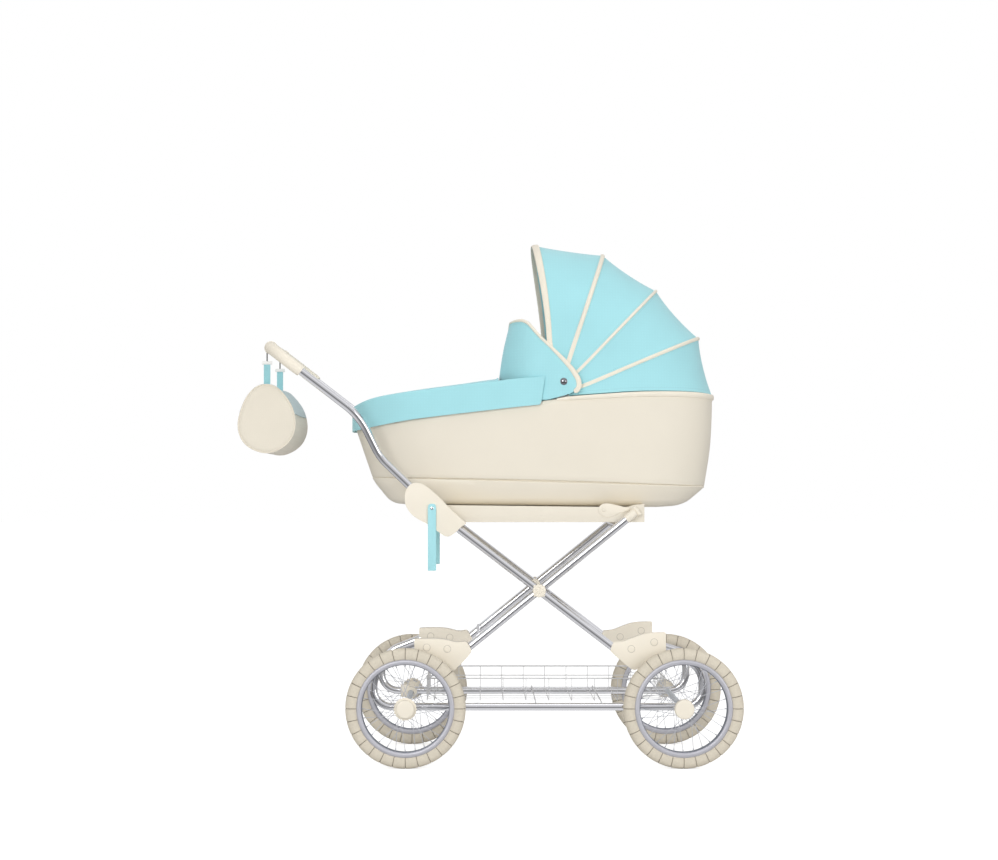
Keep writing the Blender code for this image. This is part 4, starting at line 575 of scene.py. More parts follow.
def join(name, pieces):
    deselect()
    for piece in pieces:
        piece.select_set(True)
    bpy.context.view_layer.objects.active = pieces[0]
    if len(pieces) > 1:
        bpy.ops.object.join()
    return named(name)


def copied(model, place):
    """A copy of the model, moved to the place in a mesh of its own."""
    twin = model.copy()
    twin.data = model.data.copy()
    bpy.context.collection.objects.link(twin)
    twin.data.transform(Matrix.Translation(place))
    return twin


def spread(model, places):
    """Copies of a model at the places. The model itself is discarded."""
    made = [copied(model, place) for place in places]
    discard(model)
    return made


def finish(obj, body, look, nodes=(), sharp=35):
    """Settles a piece at the origin, smooths it, gives it its finish and hands it to its body."""
    only(obj)
    settle()
    bpy.ops.object.shade_smooth_by_angle(angle=math.radians(sharp))
    material, slot = LOOKS[look]
    obj.data.materials.clear()
    obj.data.materials.append(material)
    if body:
        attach(obj, body)
    if nodes:
        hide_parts(*nodes)
    return obj


# Finishes

# Turns of the two sets of threads in plain cloth and in twill
PLAIN_TURNS = ((0.0, 0.0, 0.0), (0.0, math.pi / 2, 0.0))
TWILL_TURNS = ((0.0, 0.8, 0.6), (0.0, -0.8, 0.6))
STITCH_PITCH = 0.0024
STITCH_GAP = 0.0008
STITCH_INSET = 0.0085
STITCH_HALF_WIDTH = 0.00055


def scaled(colour, share):
    return tuple(part * share for part in colour)


class Wiring:
    """A node tree being wired up, node by node."""

    def __init__(self, tree):
        self.tree = tree

    def node(self, kind, **values):
        made = self.tree.nodes.new(kind)
        for key, value in values.items():
            if key in made.inputs:
                made.inputs[key].default_value = value
            else:
                setattr(made, key, value)
        return made

    def link(self, start, end):
        self.tree.links.new(start, end)

    def math(self, operation, *values):
        """The outcome of a sum on sockets and plain numbers."""
        made = self.node("ShaderNodeMath", operation=operation)
        for value, socket in zip(values, made.inputs):
            if isinstance(value, float):
                socket.default_value = value
            else:
                self.link(value, socket)
        return made.outputs["Value"]

    def choice(self, factor, one, two):
        """One shader or the other, by the factor."""
        made = self.node("ShaderNodeMixShader")
        self.link(factor, made.inputs["Fac"])
        self.link(one, made.inputs[1])
        self.link(two, made.inputs[2])
        return made.outputs["Shader"]


class Finish(Wiring):
    """A material on one colour, roughness and share of metal."""

    def __init__(self, name, colour, roughness, metallic=0.0, specular=0.5):
        self.material = bpy.data.materials.new(name)
        self.material.use_nodes = True
        super().__init__(self.material.node_tree)
        self.shader = self.tree.nodes["Principled BSDF"]
        self.shader.inputs["Base Color"].default_value = (*colour, 1.0)
        self.shader.inputs["Roughness"].default_value = roughness
        self.shader.inputs["Metallic"].default_value = metallic
        self.shader.inputs["Specular IOR Level"].default_value = specular
        self.material.diffuse_color = (*colour, 1.0)
        self.colour = colour

    def place(self):
        """Object coordinates."""
        return self.node("ShaderNodeTexCoord").outputs["Object"]

    def noise(self, scale, detail=2.0, source=None):
        noise = self.node("ShaderNodeTexNoise", Scale=scale, Detail=detail)
        self.link(source or self.place(), noise.inputs["Vector"])
        return noise.outputs["Fac"]

    def ramp(self, source, low, high):
        """A noise's middle range stretched from low to high."""
        limits = {"From Min": 0.3, "From Max": 0.7, "To Min": low, "To Max": high}
        made = self.node("ShaderNodeMapRange", **limits)
        self.link(source, made.inputs["Value"])
        return made.outputs["Result"]

    def mixed(self, factor, one, two):
        """Between two colours, each a socket or plain red, green and blue."""
        mix = self.node("ShaderNodeMix", data_type="RGBA")
        self.link(factor, mix.inputs["Factor"])
        for value, socket in ((one, mix.inputs["A"]), (two, mix.inputs["B"])):
            if isinstance(value, tuple):
                socket.default_value = (*value, 1.0)
            else:
                self.link(value, socket)
        return mix.outputs["Result"]

    def shade(self, source, dark, light):
        """Base colour between two shades of itself."""
        bright = tuple(min(part, 1.0) for part in scaled(self.colour, light))
        return self.mixed(source, scaled(self.colour, dark), bright)

    def base(self, source):
        self.link(source, self.shader.inputs["Base Color"])

    def rough(self, source, low, high):
        self.link(self.ramp(source, low, high), self.shader.inputs["Roughness"])

    def bump(self, height, strength, distance):
        made = self.node("ShaderNodeBump", Strength=strength, Distance=distance)
        self.link(height, made.inputs["Height"])
        self.link(made.outputs["Normal"], self.shader.inputs["Normal"])


def moulded(name, colour, roughness, grain=0.00005):
    """Moulded plastic: a faint orange peel, slight mottling and a soft gloss."""
    made = Finish(name, colour, roughness, specular=0.4)
    cloud = made.noise(6.0, 3.0)
    made.base(made.shade(made.ramp(cloud, 0.0, 1.0), 0.985, 1.012))
    made.rough(made.noise(40.0), roughness - 0.05, roughness + 0.05)
    made.bump(made.noise(900.0), 0.25, grain)
    return made


def woven(name, colour, sheen=0.25, pitch=0.0011, twill=False):
    """Woven cloth: two crossing sets of threads, slight colour variation and a soft sheen."""
    made = Finish(name, colour, 0.85, specular=0.2)
    made.shader.inputs["Sheen Weight"].default_value = sheen
    made.shader.inputs["Sheen Roughness"].default_value = 0.5
    place = made.place()
    heights = []
    for turn in TWILL_TURNS if twill else PLAIN_TURNS:
        mapping = made.node("ShaderNodeMapping", Rotation=turn)
        made.link(place, mapping.inputs["Vector"])
        wave = made.node("ShaderNodeTexWave", Scale=1 / (pitch * 20), Distortion=0.6, Detail=1.0)
        made.link(mapping.outputs["Vector"], wave.inputs["Vector"])
        heights.append(wave.outputs["Fac"])
    weave = made.math("MULTIPLY", *heights)
    cloud = made.ramp(made.noise(9.0, 4.0), 0.0, 0.7)
    made.base(made.shade(made.math("ADD", cloud, made.ramp(weave, 0.0, 0.3)), 0.955, 1.02))
    made.bump(made.math("ADD", weave, made.noise(1400.0, 2.0)), 0.30, 0.00018)
    return made


def stitched(name, colour, thread_colour):
    """Woven cloth with a row of stitches beside each sewn edge, placed by the piece's own hem attribute."""
    made = woven(name, colour)
    hem = made.node("ShaderNodeAttribute", attribute_name="hem")
    parts = made.node("ShaderNodeSeparateXYZ")
    made.link(hem.outputs["Vector"], parts.inputs["Vector"])
    dash = made.math("PINGPONG", parts.outputs["X"], STITCH_PITCH)
    dashed = made.math("GREATER_THAN", dash, STITCH_GAP)
    rows = [made.math("COMPARE", parts.outputs[axis], STITCH_INSET, STITCH_HALF_WIDTH) for axis in "YZ"]
    mask = made.math("MULTIPLY", made.math("MAXIMUM", *rows), dashed)
    cloth = made.shader.inputs["Base Color"].links[0].from_socket
    made.base(made.mixed(mask, cloth, thread_colour))
    return made


def plated(name, colour, roughness, brushed=0.0, metallic=1.0):
    """Plated or polished metal with faint smears and, where asked, fine brushing."""
    made = Finish(name, colour, roughness, metallic)
    cloud = made.noise(30.0, 3.0)
    made.rough(cloud, roughness, roughness + 0.05)
    made.base(made.shade(made.ramp(cloud, 0.0, 1.0), 0.97, 1.0))
    if brushed:
        made.bump(made.noise(700.0), brushed, 0.00002)
    return made


def tyre_rubber(name, colour):
    """Matt cream rubber: fine pores, a dusty tread, and grooves darkened with painted shade."""
    made = Finish(name, colour, 0.8, specular=0.25)
    groove = made.node("ShaderNodeAttribute", attribute_name="groove")
    dust = made.shade(made.ramp(made.noise(260.0, 4.0), 0.0, 1.0), 0.94, 1.03)
    # Marked groove points get 0.42 of the rubber's colour: painted shade in the grooves.
    made.base(made.mixed(groove.outputs["Fac"], dust, scaled(colour, 0.42)))
    made.rough(made.noise(60.0), 0.74, 0.86)
    made.bump(made.noise(1100.0, 3.0), 0.35, 0.00012)
    return made


def make_looks():
    """Each look's maker, material, colour, further values and the slot of the material in the CAD."""
    chosen = colours()
    cream, moulding, cyan, tyre, metal, white = (
        tuple(getattr(chosen, name)) for name in ("cream", "moulding", "cyan", "tyre", "metal", "white")
    )
    looks = (
        ("shell", moulded, "carrycot_wall", cream, (0.5,), "cream_plastic"),
        ("tub", moulded, "carrycot_tub", scaled(cream, 1.04), (0.48,), "light_cream_plastic"),
        ("moulding", moulded, "cream_moulding", moulding, (0.42,), "cream_plastic"),
        ("grip", moulded, "soft_grip", scaled(moulding, 1.02), (0.55, 0.00012), "cream_plastic"),
        ("lever", moulded, "blue_moulding", cyan, (0.42,), "cyan_plastic"),
        ("cloth", woven, "blue_cloth", cyan, (), "cyan_fabric"),
        ("stitched", stitched, "blue_cloth_stitched", cyan, (scaled(cyan, 0.86),), "cyan_fabric"),
        ("piping", woven, "cream_piping", moulding, (0.2, 0.0009, True), "cream_plastic"),
        ("bag", woven, "bag_cloth", cream, (0.2, 0.0009), "cream_fabric"),
        # Blue-grey tint over the bag's top: painted shade with a blue reflection.
        ("bag_lid", woven, "bag_lid_cloth", (0.56, 0.66, 0.68), (0.2, 0.0014), "cream_fabric"),
        ("lining", woven, "white_lining", white, (0.3, 0.0016), "white_fabric"),
        ("strap", woven, "strap_webbing", scaled(cyan, 0.9), (0.2, 0.0008, True), "white_plastic"),
        ("clip", moulded, "white_clip", white, (0.35,), "white_plastic"),
        ("chrome", plated, "chrome_plate", metal, (0.07,), "chrome_tube"),
        ("rim", plated, "satin_rim", (0.54, 0.54, 0.59), (0.40, 0.1, 0.35), "polished_rim"),
        # Dark band at each rim's inner edge: painted shade.
        ("well", plated, "rim_well", (0.16, 0.18, 0.22), (0.40, 0.1, 0.5), "polished_rim"),
        ("axle", plated, "zinc_axle", (0.62, 0.66, 0.70), (0.42, 0.1, 0.5), "chrome_tube"),
        # Darker moulding colour for the rings of painted shade round the rivets.
        ("line", moulded, "moulding_shadow_line", scaled(moulding, 0.62), (0.6,), "cream_plastic"),
        ("spoke", plated, "spoke_wire", (0.58, 0.59, 0.63), (0.45, 0.0, 0.2), "polished_rim"),
        ("wire", moulded, "coated_wire", (0.66, 0.66, 0.67), (0.35,), "grey_wire"),
        ("hook", plated, "dark_hook_wire", (0.04, 0.04, 0.04), (0.45, 0.0, 0.3), "white_plastic"),
        ("stud", plated, "stud_cap", (0.26, 0.26, 0.28), (0.12,), "dark_stud"),
        ("tyre", tyre_rubber, "cream_tyre", tyre, (), "cream_tyre"),
    )
    for look, maker, name, tint, further, slot in looks:
        LOOKS[look] = (maker(name, tint, *further).material, slot)


# Stage

# Brightness that metal sees, from straight below to straight above
STUDIO_BAND = (
    (0.0, 0.84), (0.13, 0.78), (0.22, 0.44), (0.31, 0.22), (0.39, 0.22), (0.46, 0.48), (0.51, 0.55),
    (0.60, 0.62), (0.72, 0.86), (0.80, 1.0), (0.90, 0.70), (1.0, 0.70),
)
EVEN_LIGHT = 0.55
# Name, place, size and energy
LAMPS = (
    ("key", (-1.6, -5.2, 2.0), 2.5, 90.0), ("fill", (3.4, -3.9, 1.2), 2.5, 50.0),
    ("top", (0.2, -0.6, 4.2), 3.5, 26.0),
)
LAMP_AIM = Vector((0.0, 0.0, 0.6))
CAMERA_PLACE = (-0.016, -5.941, 0.6747)
CAMERA_SHIFT = (0.01703, 0.05812)


class CARRIAGE_OT_stage(bpy.types.Operator):
    """Pale floor, soft light, white surroundings and the camera"""

    bl_idname = "carriage.stage"
    bl_label = "Stage"

    def execute(self, context):
        self.floor()
        self.surroundings(context)
        self.lamps()
        self.camera(context)
        return {"FINISHED"}

    def floor(self):
        deselect()
        bpy.ops.mesh.primitive_plane_add(size=80.0, location=(0, 0, 0))
        floor = named("floor")
        made = Finish("pale_floor", (0.80, 0.80, 0.80), 0.9, specular=0.0)
        rays = made.node("ShaderNodeLightPath")
        glow = made.node("ShaderNodeEmission")
        made.link(made.math("MULTIPLY", self.clear(made, rays), 0.64), glow.inputs["Strength"])
        both = made.node("ShaderNodeAddShader")
        made.link(made.shader.outputs["BSDF"], both.inputs[0])
        made.link(glow.outputs["Emission"], both.inputs[1])
        unseen = made.node("ShaderNodeBsdfTransparent").outputs["BSDF"]
        surface = made.choice(rays.outputs["Is Glossy Ray"], both.outputs["Shader"], unseen)
        made.link(surface, made.tree.nodes["Material Output"].inputs["Surface"])
        floor.data.materials.append(made.material)

    def clear(self, wiring, rays):
        """Rays that see the white surroundings."""
        return wiring.math("MAXIMUM", rays.outputs["Is Camera Ray"], rays.outputs["Is Transmission Ray"])

    def surroundings(self, context):
        """White for the camera, even soft light for surfaces, and a band at the horizon for metal to show."""
        world = bpy.data.worlds.new("studio")
        context.scene.world = world
        world.use_nodes = True
        world.node_tree.nodes.clear()
        wiring = Wiring(world.node_tree)
        rays = wiring.node("ShaderNodeLightPath")
        parts = wiring.node("ShaderNodeSeparateXYZ")
        wiring.link(wiring.node("ShaderNodeTexCoord").outputs["Generated"], parts.inputs["Vector"])
        height = wiring.node("ShaderNodeMapRange", **{"From Min": -1.0})
        wiring.link(parts.outputs["Z"], height.inputs["Value"])
        band = wiring.node("ShaderNodeValToRGB")
        while len(band.color_ramp.elements) < len(STUDIO_BAND):
            band.color_ramp.elements.new(0.5)
        for element, (position, value) in zip(band.color_ramp.elements, STUDIO_BAND):
            element.position = position
            element.color = (value, value, value * 1.02, 1.0)
        wiring.link(height.outputs["Result"], band.inputs["Fac"])
        white = (1.0, 1.0, 1.0, 1.0)
        metal = wiring.node("ShaderNodeBackground")
        wiring.link(band.outputs["Color"], metal.inputs["Color"])
        even = wiring.node("ShaderNodeBackground", Color=white, Strength=EVEN_LIGHT)
        plain = wiring.node("ShaderNodeBackground", Color=white)
        glossy = rays.outputs["Is Glossy Ray"]
        inner = wiring.choice(glossy, even.outputs["Background"], metal.outputs["Background"])
        outer = wiring.choice(self.clear(wiring, rays), inner, plain.outputs["Background"])
        wiring.link(outer, wiring.node("ShaderNodeOutputWorld").inputs["Surface"])

    def lamps(self):
        for name, place, size, energy in LAMPS:
            deselect()
            bpy.ops.object.light_add(type="AREA", location=place)
            lamp = named(name)
            lamp.data.shape = "DISK"
            lamp.data.size = size
            lamp.data.energy = energy
            lamp.rotation_euler = (LAMP_AIM - Vector(place)).to_track_quat("-Z", "Y").to_euler()

    def camera(self, context):
        deselect()
        bpy.ops.object.camera_add(location=CAMERA_PLACE, rotation=(math.pi / 2, 0, 0))
        camera = named("camera")
        camera.data.lens = 85.0
        camera.data.sensor_width = 36.0
        camera.data.shift_x, camera.data.shift_y = CAMERA_SHIFT
        context.scene.camera = camera
        context.scene.view_settings.view_transform = "Standard"


# Wheels

# Depth below the tread and half width there
TYRE_HALF = (
    (0.0, 0.0), (0.0003, 0.0065), (0.0013, 0.0110), (0.0040, 0.0155), (0.0080, 0.0184), (0.0135, 0.0198),
    (0.0190, 0.0196), (0.0235, 0.0182), (0.0262, 0.0164), (0.0272, 0.0152),
)
TYRE_DEPTH = 0.0272
GROOVE_SINK = 0.0022
# Depth inside the rim's seat and half width
RIM_HALF = (
    (-0.0010, 0.0150), (-0.0002, 0.0142), (0.0008, 0.0146), (0.0016, 0.0156), (0.0028, 0.0162),
    (0.0050, 0.0164), (0.0092, 0.0163), (0.0108, 0.0157), (0.0117, 0.0144), (0.0121, 0.0122),
    (0.0126, 0.0030),
)
# Dark band at the rim's inner edge, as (depth inside the seat, half width): painted shade where the rim's
# inner lip lies in shadow
RIM_SHADE_BAND = ((0.0120, -0.0118), (0.0120, 0.0118), (0.0131, 0.0116), (0.0131, -0.0116))


def wheel_places():
    return [at(x, side * sizes().track_half, sizes().wheel_radius) for _, x, _, side in WHEELS]


class CARRIAGE_OT_tyres(bpy.types.Operator):
    """Cream tyres with a groove between each two tread blocks"""

    bl_idname = "carriage.tyres"
    bl_label = "Tyres"

    def execute(self, context):
        radius = sizes().wheel_radius
        profile = [(radius - depth, out) for depth, out in reversed(TYRE_HALF)]
        profile += [(radius - depth, -out) for depth, out in TYRE_HALF[1:]]
        tyre = spun("tyre", profile, (0, 0, 0), 1, sizes().tread_blocks * 8, closed=True)
        self.groove(tyre, radius)
        for (end, _, side_name, _), rubber in zip(WHEELS, spread(tyre, wheel_places())):
            rubber.name = f"{end}_tyre_rubber_{side_name}"
            finish(rubber, f"{end}_wheel_{side_name}", "tyre", [f"{end}_tyre_{side_name}"], 30)
        return {"FINISHED"}

    def groove(self, tyre, radius):
        """Draws the spun steps together at each groove and sinks the middle one, and marks the groove's
        points for the rubber's painted shade.
        """
        pitch = 2 * math.pi / sizes().tread_blocks
        middle = radius - 0.0150
        # The groove attribute marks where the rubber is painted darker, as shade in the grooves.
        depth = tyre.data.attributes.new("groove", "FLOAT", "POINT")
        for index, vert in enumerate(tyre.data.vertices):
            x, y, z = vert.co
            reach = math.hypot(x, z)
            turn = math.atan2(z, x)
            nearest = round(turn / pitch) * pitch
            offset = turn - nearest
            step = abs(offset) / (pitch / 8)
            if step < 0.5:
                sink = GROOVE_SINK if reach > radius - 0.0268 else 0.0
                depth.data[index].value = 1.0
                way = Vector((reach - middle, y))
                if way.length > 0.001:
                    way -= way.normalized() * sink
                reach = middle + way.x
                y = way.y
            elif step < 1.5:
                turn = nearest + math.copysign(0.0095, offset)
            elif step < 2.5:
                turn = nearest + math.copysign(0.0240, offset)
            vert.co = (reach * math.cos(turn), y, reach * math.sin(turn))


class CARRIAGE_OT_rims(bpy.types.Operator):
    """Polished rims, laced with crossing spokes"""

    bl_idname = "carriage.rims"
    bl_label = "Rims and spokes"

    def execute(self, context):
        seat = sizes().wheel_radius - TYRE_DEPTH
        profile = [(seat - depth, out) for depth, out in RIM_HALF]
        profile += [(seat - depth, -out) for depth, out in reversed(RIM_HALF)]
        band = [(seat - depth, out) for depth, out in RIM_SHADE_BAND]
        models = (
            ("rim_ring", spun("rim", profile, (0, 0, 0), 1, 144, closed=True), "rim"),
            # The dark band at the rim's inner edge is painted shade.
            ("rim_well", spun("well", band, (0, 0, 0), 1, 96, closed=True), "well"),
            ("spokes", self.lacing(seat - 0.0110), "spoke"),
        )
        for (end, _, side_name, _), place in zip(WHEELS, wheel_places()):
            for kind, model, look in models:
                piece = copied(model, place)
                piece.name = f"{end}_{kind}_{side_name}"
                nodes = [f"{end}_rim_{side_name}"] if kind == "rim_ring" else []
                finish(piece, f"{end}_wheel_{side_name}", look, nodes)
        for _, model, _ in models:
            discard(model)
        return {"FINISHED"}

    def lacing(self, outer):
        """Spokes that lean both ways from two flanges, each with its nipple at the rim."""
        count = sizes().spokes
        flange = 0.0185
        pieces = []
        for index in range(count):
            turn = 2 * math.pi * index / count
            lean = math.radians(52) * (1 if index % 4 < 2 else -1)
            out = 0.0095 if index % 2 else -0.0095
            start = at(flange * math.cos(turn - lean), out, flange * math.sin(turn - lean))
            end = at(outer * math.cos(turn), out * 0.2, outer * math.sin(turn))
            along = end - start
            pieces.append(self.stick("spoke", (start + end) / 2, along, 0.0007, along.length, 6))
            pieces.append(self.stick("nipple", end - along.normalized() * 0.004, along, 0.0013, 0.008, 8))
        return join("lacing", pieces)

    def stick(self, name, middle, along, radius, length, sides):
        deselect()
        bpy.ops.mesh.primitive_cylinder_add(
            vertices=sides, radius=radius, depth=length, location=tuple(middle),
            rotation=along.to_track_quat("Z", "Y").to_euler(),
        )
        made = named(name)
        settle()
        return made


class CARRIAGE_OT_hubs(bpy.types.Operator):
    """Moulded hubs: round caps, a scalloped ring on the rear ones, and spoke flanges"""

    bl_idname = "carriage.hubs"
    bl_label = "Hubs"

    def execute(self, context):
        for (end, _, side_name, side), centre in zip(WHEELS, wheel_places()):
            pieces = [spun("hub", self.profile(end), centre, side, 64)]
            if end == "rear":
                pieces.append(self.scallops(centre, side))
            hub = join(f"{end}_hub_moulding_{side_name}", pieces)
            finish(hub, f"{end}_wheel_{side_name}", "moulding", [f"{end}_hub_{side_name}"], 40)
        return {"FINISHED"}

    def profile(self, end):
        cap = 0.0236 if end == "front" else 0.0222
        return [
            (0.0055, -0.0318), (0.0150, -0.0318), (0.0150, -0.0160), (0.0196, -0.0122), (0.0205, -0.0110),
            (0.0205, -0.0085), (0.0196, -0.0078), (0.0122, -0.0066), (0.0120, 0.0066), (0.0196, 0.0078),
            (0.0205, 0.0085), (0.0205, 0.0115), (cap - 0.0006, 0.0150), (cap, 0.0165), (cap, 0.0325),
            (cap - 0.0004, 0.0342), (cap - 0.0014, 0.0354), (cap - 0.0030, 0.0360), (cap - 0.0060, 0.0361),
            (cap * 0.4, 0.0362), (0.0, 0.0362),
        ]

    def scallops(self, centre, side):
        teeth = 18
        outline = []
        for index in range(teeth * 8):
            turn = 2 * math.pi * index / (teeth * 8)
            reach = 0.0258 + 0.0020 * abs(math.cos(turn * teeth / 2))
            outline.append((centre[0] + reach * math.cos(turn), centre[2] + reach * math.sin(turn)))
        inner = abs(centre[1]) + 0.0180
        return plate("scallops", outline, inner, inner + 0.0065, side, 0.0008, 2)


class CARRIAGE_OT_axles(bpy.types.Operator):
    """Zinc-plated axles with stub ends, and the foot brake on the rear one"""

    bl_idname = "carriage.axles"
    bl_label = "Axles and brake"

    def execute(self, context):
        radius = sizes().wheel_radius
        for end, x in AXLES:
            profile = [
                (0.0, -0.3002), (0.0049, -0.3002), (0.0049, -0.2235), (0.0064, -0.2230), (0.0070, -0.2222),
                (0.0070, 0.2222), (0.0064, 0.2230), (0.0049, 0.2235), (0.0049, 0.3002), (0.0, 0.3002),
            ]
            axle = spun(f"{end}_axle_bar", profile, (x, 0, radius), 1, 32)
            finish(axle, f"{end}_frame", "axle", [f"{end}_axle"])
        self.brake(radius)
        return {"FINISHED"}

    def brake(self, radius):
        x = AXLES[0][1]
        ring = [
            (0.0075, -0.0175), (0.0135, -0.0175), (0.0150, -0.0160), (0.0150, 0.0160), (0.0135, 0.0175),
            (0.0075, 0.0175),
        ]
        barrel = spun("barrel", ring, (x, 0.1725, radius), 1, 40, closed=True)
        pad = block("pad", (x - 0.0265, 0.157, radius - 0.0110), (x - 0.004, 0.188, radius + 0.0204), 0.003)
        finish(join("brake_pedal", [barrel, pad]), "brake", "moulding", ["brake_lever"])


# Frame

class CARRIAGE_OT_springs(bpy.types.Operator):
    """Chrome spring loops and rails, with the slider at the rail's seam"""

    bl_idname = "carriage.springs"
    bl_label = "Spring loops"

    def execute(self, context):
        rail = sizes().wheel_radius
        rear = ((-0.140, 0.2952), (-0.2785, 0.2420), (-0.2785, rail), (0.3107, rail))
        front = ((0.3113, rail), (0.5175, rail), (0.5175, 0.2444), (0.392, 0.2804))
        for side_name, side in SIDES:
            y = side * SPRING_Y
            self.loop("rear", side_name, y, rear, (0.070, 0.043))
            spigot = side_bar("spigot", (0.161, rail), (0.3115, rail), y, 0.0078)
            self.loop("front", side_name, y, front, (0.043, 0.054), spigot)
        return {"FINISHED"}

    def loop(self, end, side_name, y, corners, fillets, *further):
        route = rounded_path([at(x, y, z) for x, z in corners], fillets)
        tube = bent_bar("loop", route, sizes().tube_radius)
        loop = join(f"{end}_loop_{side_name}", [tube, *further])
        finish(loop, f"{end}_frame", "chrome", [f"{end}_spring_{side_name}"])


BRACKET_OUT = 0.2443
RIVET = ((0.0080, -0.0004), (0.0080, 0.0003), (0.0072, 0.0007), (0.0040, 0.0008), (0.0, 0.0008))
# Dark ring round each rivet head: painted shade at the rivet's edge.
RIVET_SHADOW_RING = ((0.0091, -0.0003), (0.0091, 0.0002), (0.0084, 0.0003), (0.0080, 0.0002), (0.0080, -0.0003))


class CARRIAGE_OT_brackets(bpy.types.Operator):
    """Moulded brackets that hold the cross tubes and the spring loops, with riveted cheeks"""

    bl_idname = "carriage.brackets"
    bl_label = "Brackets"

    def execute(self, context):
        kinds = (
            ("rear", REAR_BRACKET, REAR_INSIDE, (0.1978, 0.2003, 0.2010), (REAR_PIVOT, (-0.1497, 0.2889))),
            ("front", FRONT_BRACKET, FRONT_INSIDE, (0.2199, 0.2222, 0.2210),
             (FRONT_PIVOT, (0.4002, 0.3017))),
        )
        for end, outline, inside, (wall_in, wall_out, pin_in), rivets in kinds:
            for side_name, side in SIDES:
                body = plate("bracket", soften(outline), wall_in, BRACKET_OUT, side)
                carve(body, plate("inside", inside, wall_out, 0.2418, side))
                round_edges(body, 0.0007, 2)
                pieces = [body]
                lines = []
                for x, z in rivets:
                    for y, way in ((side * BRACKET_OUT, side), (side * wall_in, -side)):
                        pieces.append(spun("rivet", RIVET, (x, y, z), way, 40))
                        # Each dark ring round a rivet is painted shade.
                        lines.append(spun("line", RIVET_SHADOW_RING, (x, y, z), way, 40, closed=True))
                pieces.append(cross_bar("pin", rivets[0], side * pin_in, side * 0.2430, 0.004))
                bracket = join(f"{end}_bracket_moulding_{side_name}", pieces)
                finish(bracket, f"{end}_frame", "moulding", [f"{end}_bracket_{side_name}"], 30)
                finish(join(f"{end}_bracket_shadow_lines_{side_name}", lines), f"{end}_frame", "line")
        return {"FINISHED"}


class CARRIAGE_OT_cross_tubes(bpy.types.Operator):
    """The crossing chrome tubes, their end fittings, bolts and cross bars"""

    bl_idname = "carriage.cross_tubes"
    bl_label = "Cross tubes"

    def execute(self, context):
        for side_name, side in SIDES:
            self.tube("falling", side_name, side * SPRING_Y, FALL, (-0.2933, 0.2365), FRONT_PIVOT)
            self.tube("rising", side_name, side * RISING_Y, RISE, (-0.2478, 0.3020), REAR_PIVOT)
            self.cap(side_name, side * RISING_Y, CROSS + RISE * 0.3020)
            self.bolt(side_name, side)
        self.cross_bars()
        return {"FINISHED"}

    def tube(self, kind, side_name, y, way, reaches, pivot):
        """A tube between two reaches from the crossing, with a lug at its foot."""
        start, end = (CROSS + way * reach for reach in reaches)
        tube = side_bar("tube", start, end, y, sizes().tube_radius)
        foot = end - way * 0.008 if kind == "falling" else start + way * 0.008
        tube = join(f"{kind}_tube_chrome_{side_name}", [tube, self.lug(foot, pivot, y)])
        finish(tube, f"{kind}_frame", "chrome", [f"{kind}_tube_{side_name}"])

    def lug(self, end, pivot, y):
        """Flattened end of a tube round its pivot pin."""
        way = (pivot - end).normalized()
        across = Vector((-way.y, way.x)) * 0.0092
        outline = [tuple(end + across), tuple(end - across)]
        start = math.atan2(-across.y, -across.x)
        for step in range(13):
            turn = start + math.pi * step / 12
            outline.append((pivot.x + 0.011 * math.cos(turn), pivot.y + 0.011 * math.sin(turn)))
        middle = abs(y)
        return plate("lug", outline, middle - 0.003, middle + 0.003, math.copysign(1, y), 0.0006, 2)

    def cap(self, side_name, y, high):
        """Moulded sleeve with the cross hook that the carrycot's latch closes on."""
        sleeve = side_bar("sleeve", high - RISE * 0.0290, high + RISE * 0.0006, y, 0.0102, 32)
        round_edges(sleeve, 0.0012, 3, 60)
        middle = high + RISE * 0.0045
        across = Vector((RISE.y, -RISE.x)) * 0.0118
        hook = side_bar("hook", middle - across, middle + across, y, 0.0048, 24)
        round_edges(hook, 0.0014, 3, 60)
        boss = side_bar("boss", high, high + RISE * 0.0110, y, 0.0036, 20)
        cap = join(f"rising_tube_cap_{side_name}", [sleeve, hook, boss])
        finish(cap, "rising_frame", "moulding")

    def bolt(self, side_name, side):
        centre = (CROSS.x, side * 0.2418, CROSS.y)
        outer = spun("bolt", [
            (0.0, 0.0), (0.0150, 0.0), (0.0160, 0.0008), (0.0160, 0.0030), (0.0155, 0.0043),
            (0.0142, 0.0051), (0.0100, 0.0053), (0.0094, 0.0047), (0.0070, 0.0046), (0.0064, 0.0053),
            (0.0, 0.0055),
        ], centre, side, 48)
        inner = spun("nut", [
            (0.0, -0.0450), (0.0115, -0.0450), (0.0125, -0.0442), (0.0125, -0.0415), (0.0, -0.0415),
        ], centre, side, 32)
        shank = cross_bar("shank", CROSS, side * 0.1990, side * 0.2430, 0.004)
        notches = []
        for index in range(4):
            way = direction(45 + 90 * index) * 0.0165
            notches.append(block(
                "lobe", (CROSS.x + way.x - 0.0022, side * 0.2440 - 0.0018, CROSS.y + way.y - 0.0022),
                (CROSS.x + way.x + 0.0022, side * 0.2440 + 0.0018, CROSS.y + way.y + 0.0022), 0.001,
            ))
        bolt = join(f"pivot_cap_{side_name}", [outer, inner, shank] + notches)
        finish(bolt, "rising_frame", "moulding", [f"pivot_bolt_{side_name}"])

    def cross_bars(self):
        tie = CROSS - RISE * 0.1836 + Vector((-RISE.y, RISE.x)) * 0.0078
        for name, node, place, reach, radius, sides, body in (
            ("rear_cross_bar", "rear_support_tube", (-0.072, 0.5831), 0.2196, 0.0080, 24, "falling_frame"),
            ("front_cross_bar", "front_support_tube", (0.3162, 0.5831), 0.2003, 0.0080, 24, "rising_frame"),
            ("tie_rod", "lower_tie_bar", tie, 0.2012, 0.0045, 20, "rising_frame"),
        ):
            finish(cross_bar(name, place, -reach, reach, radius, sides), body, "chrome", [node])


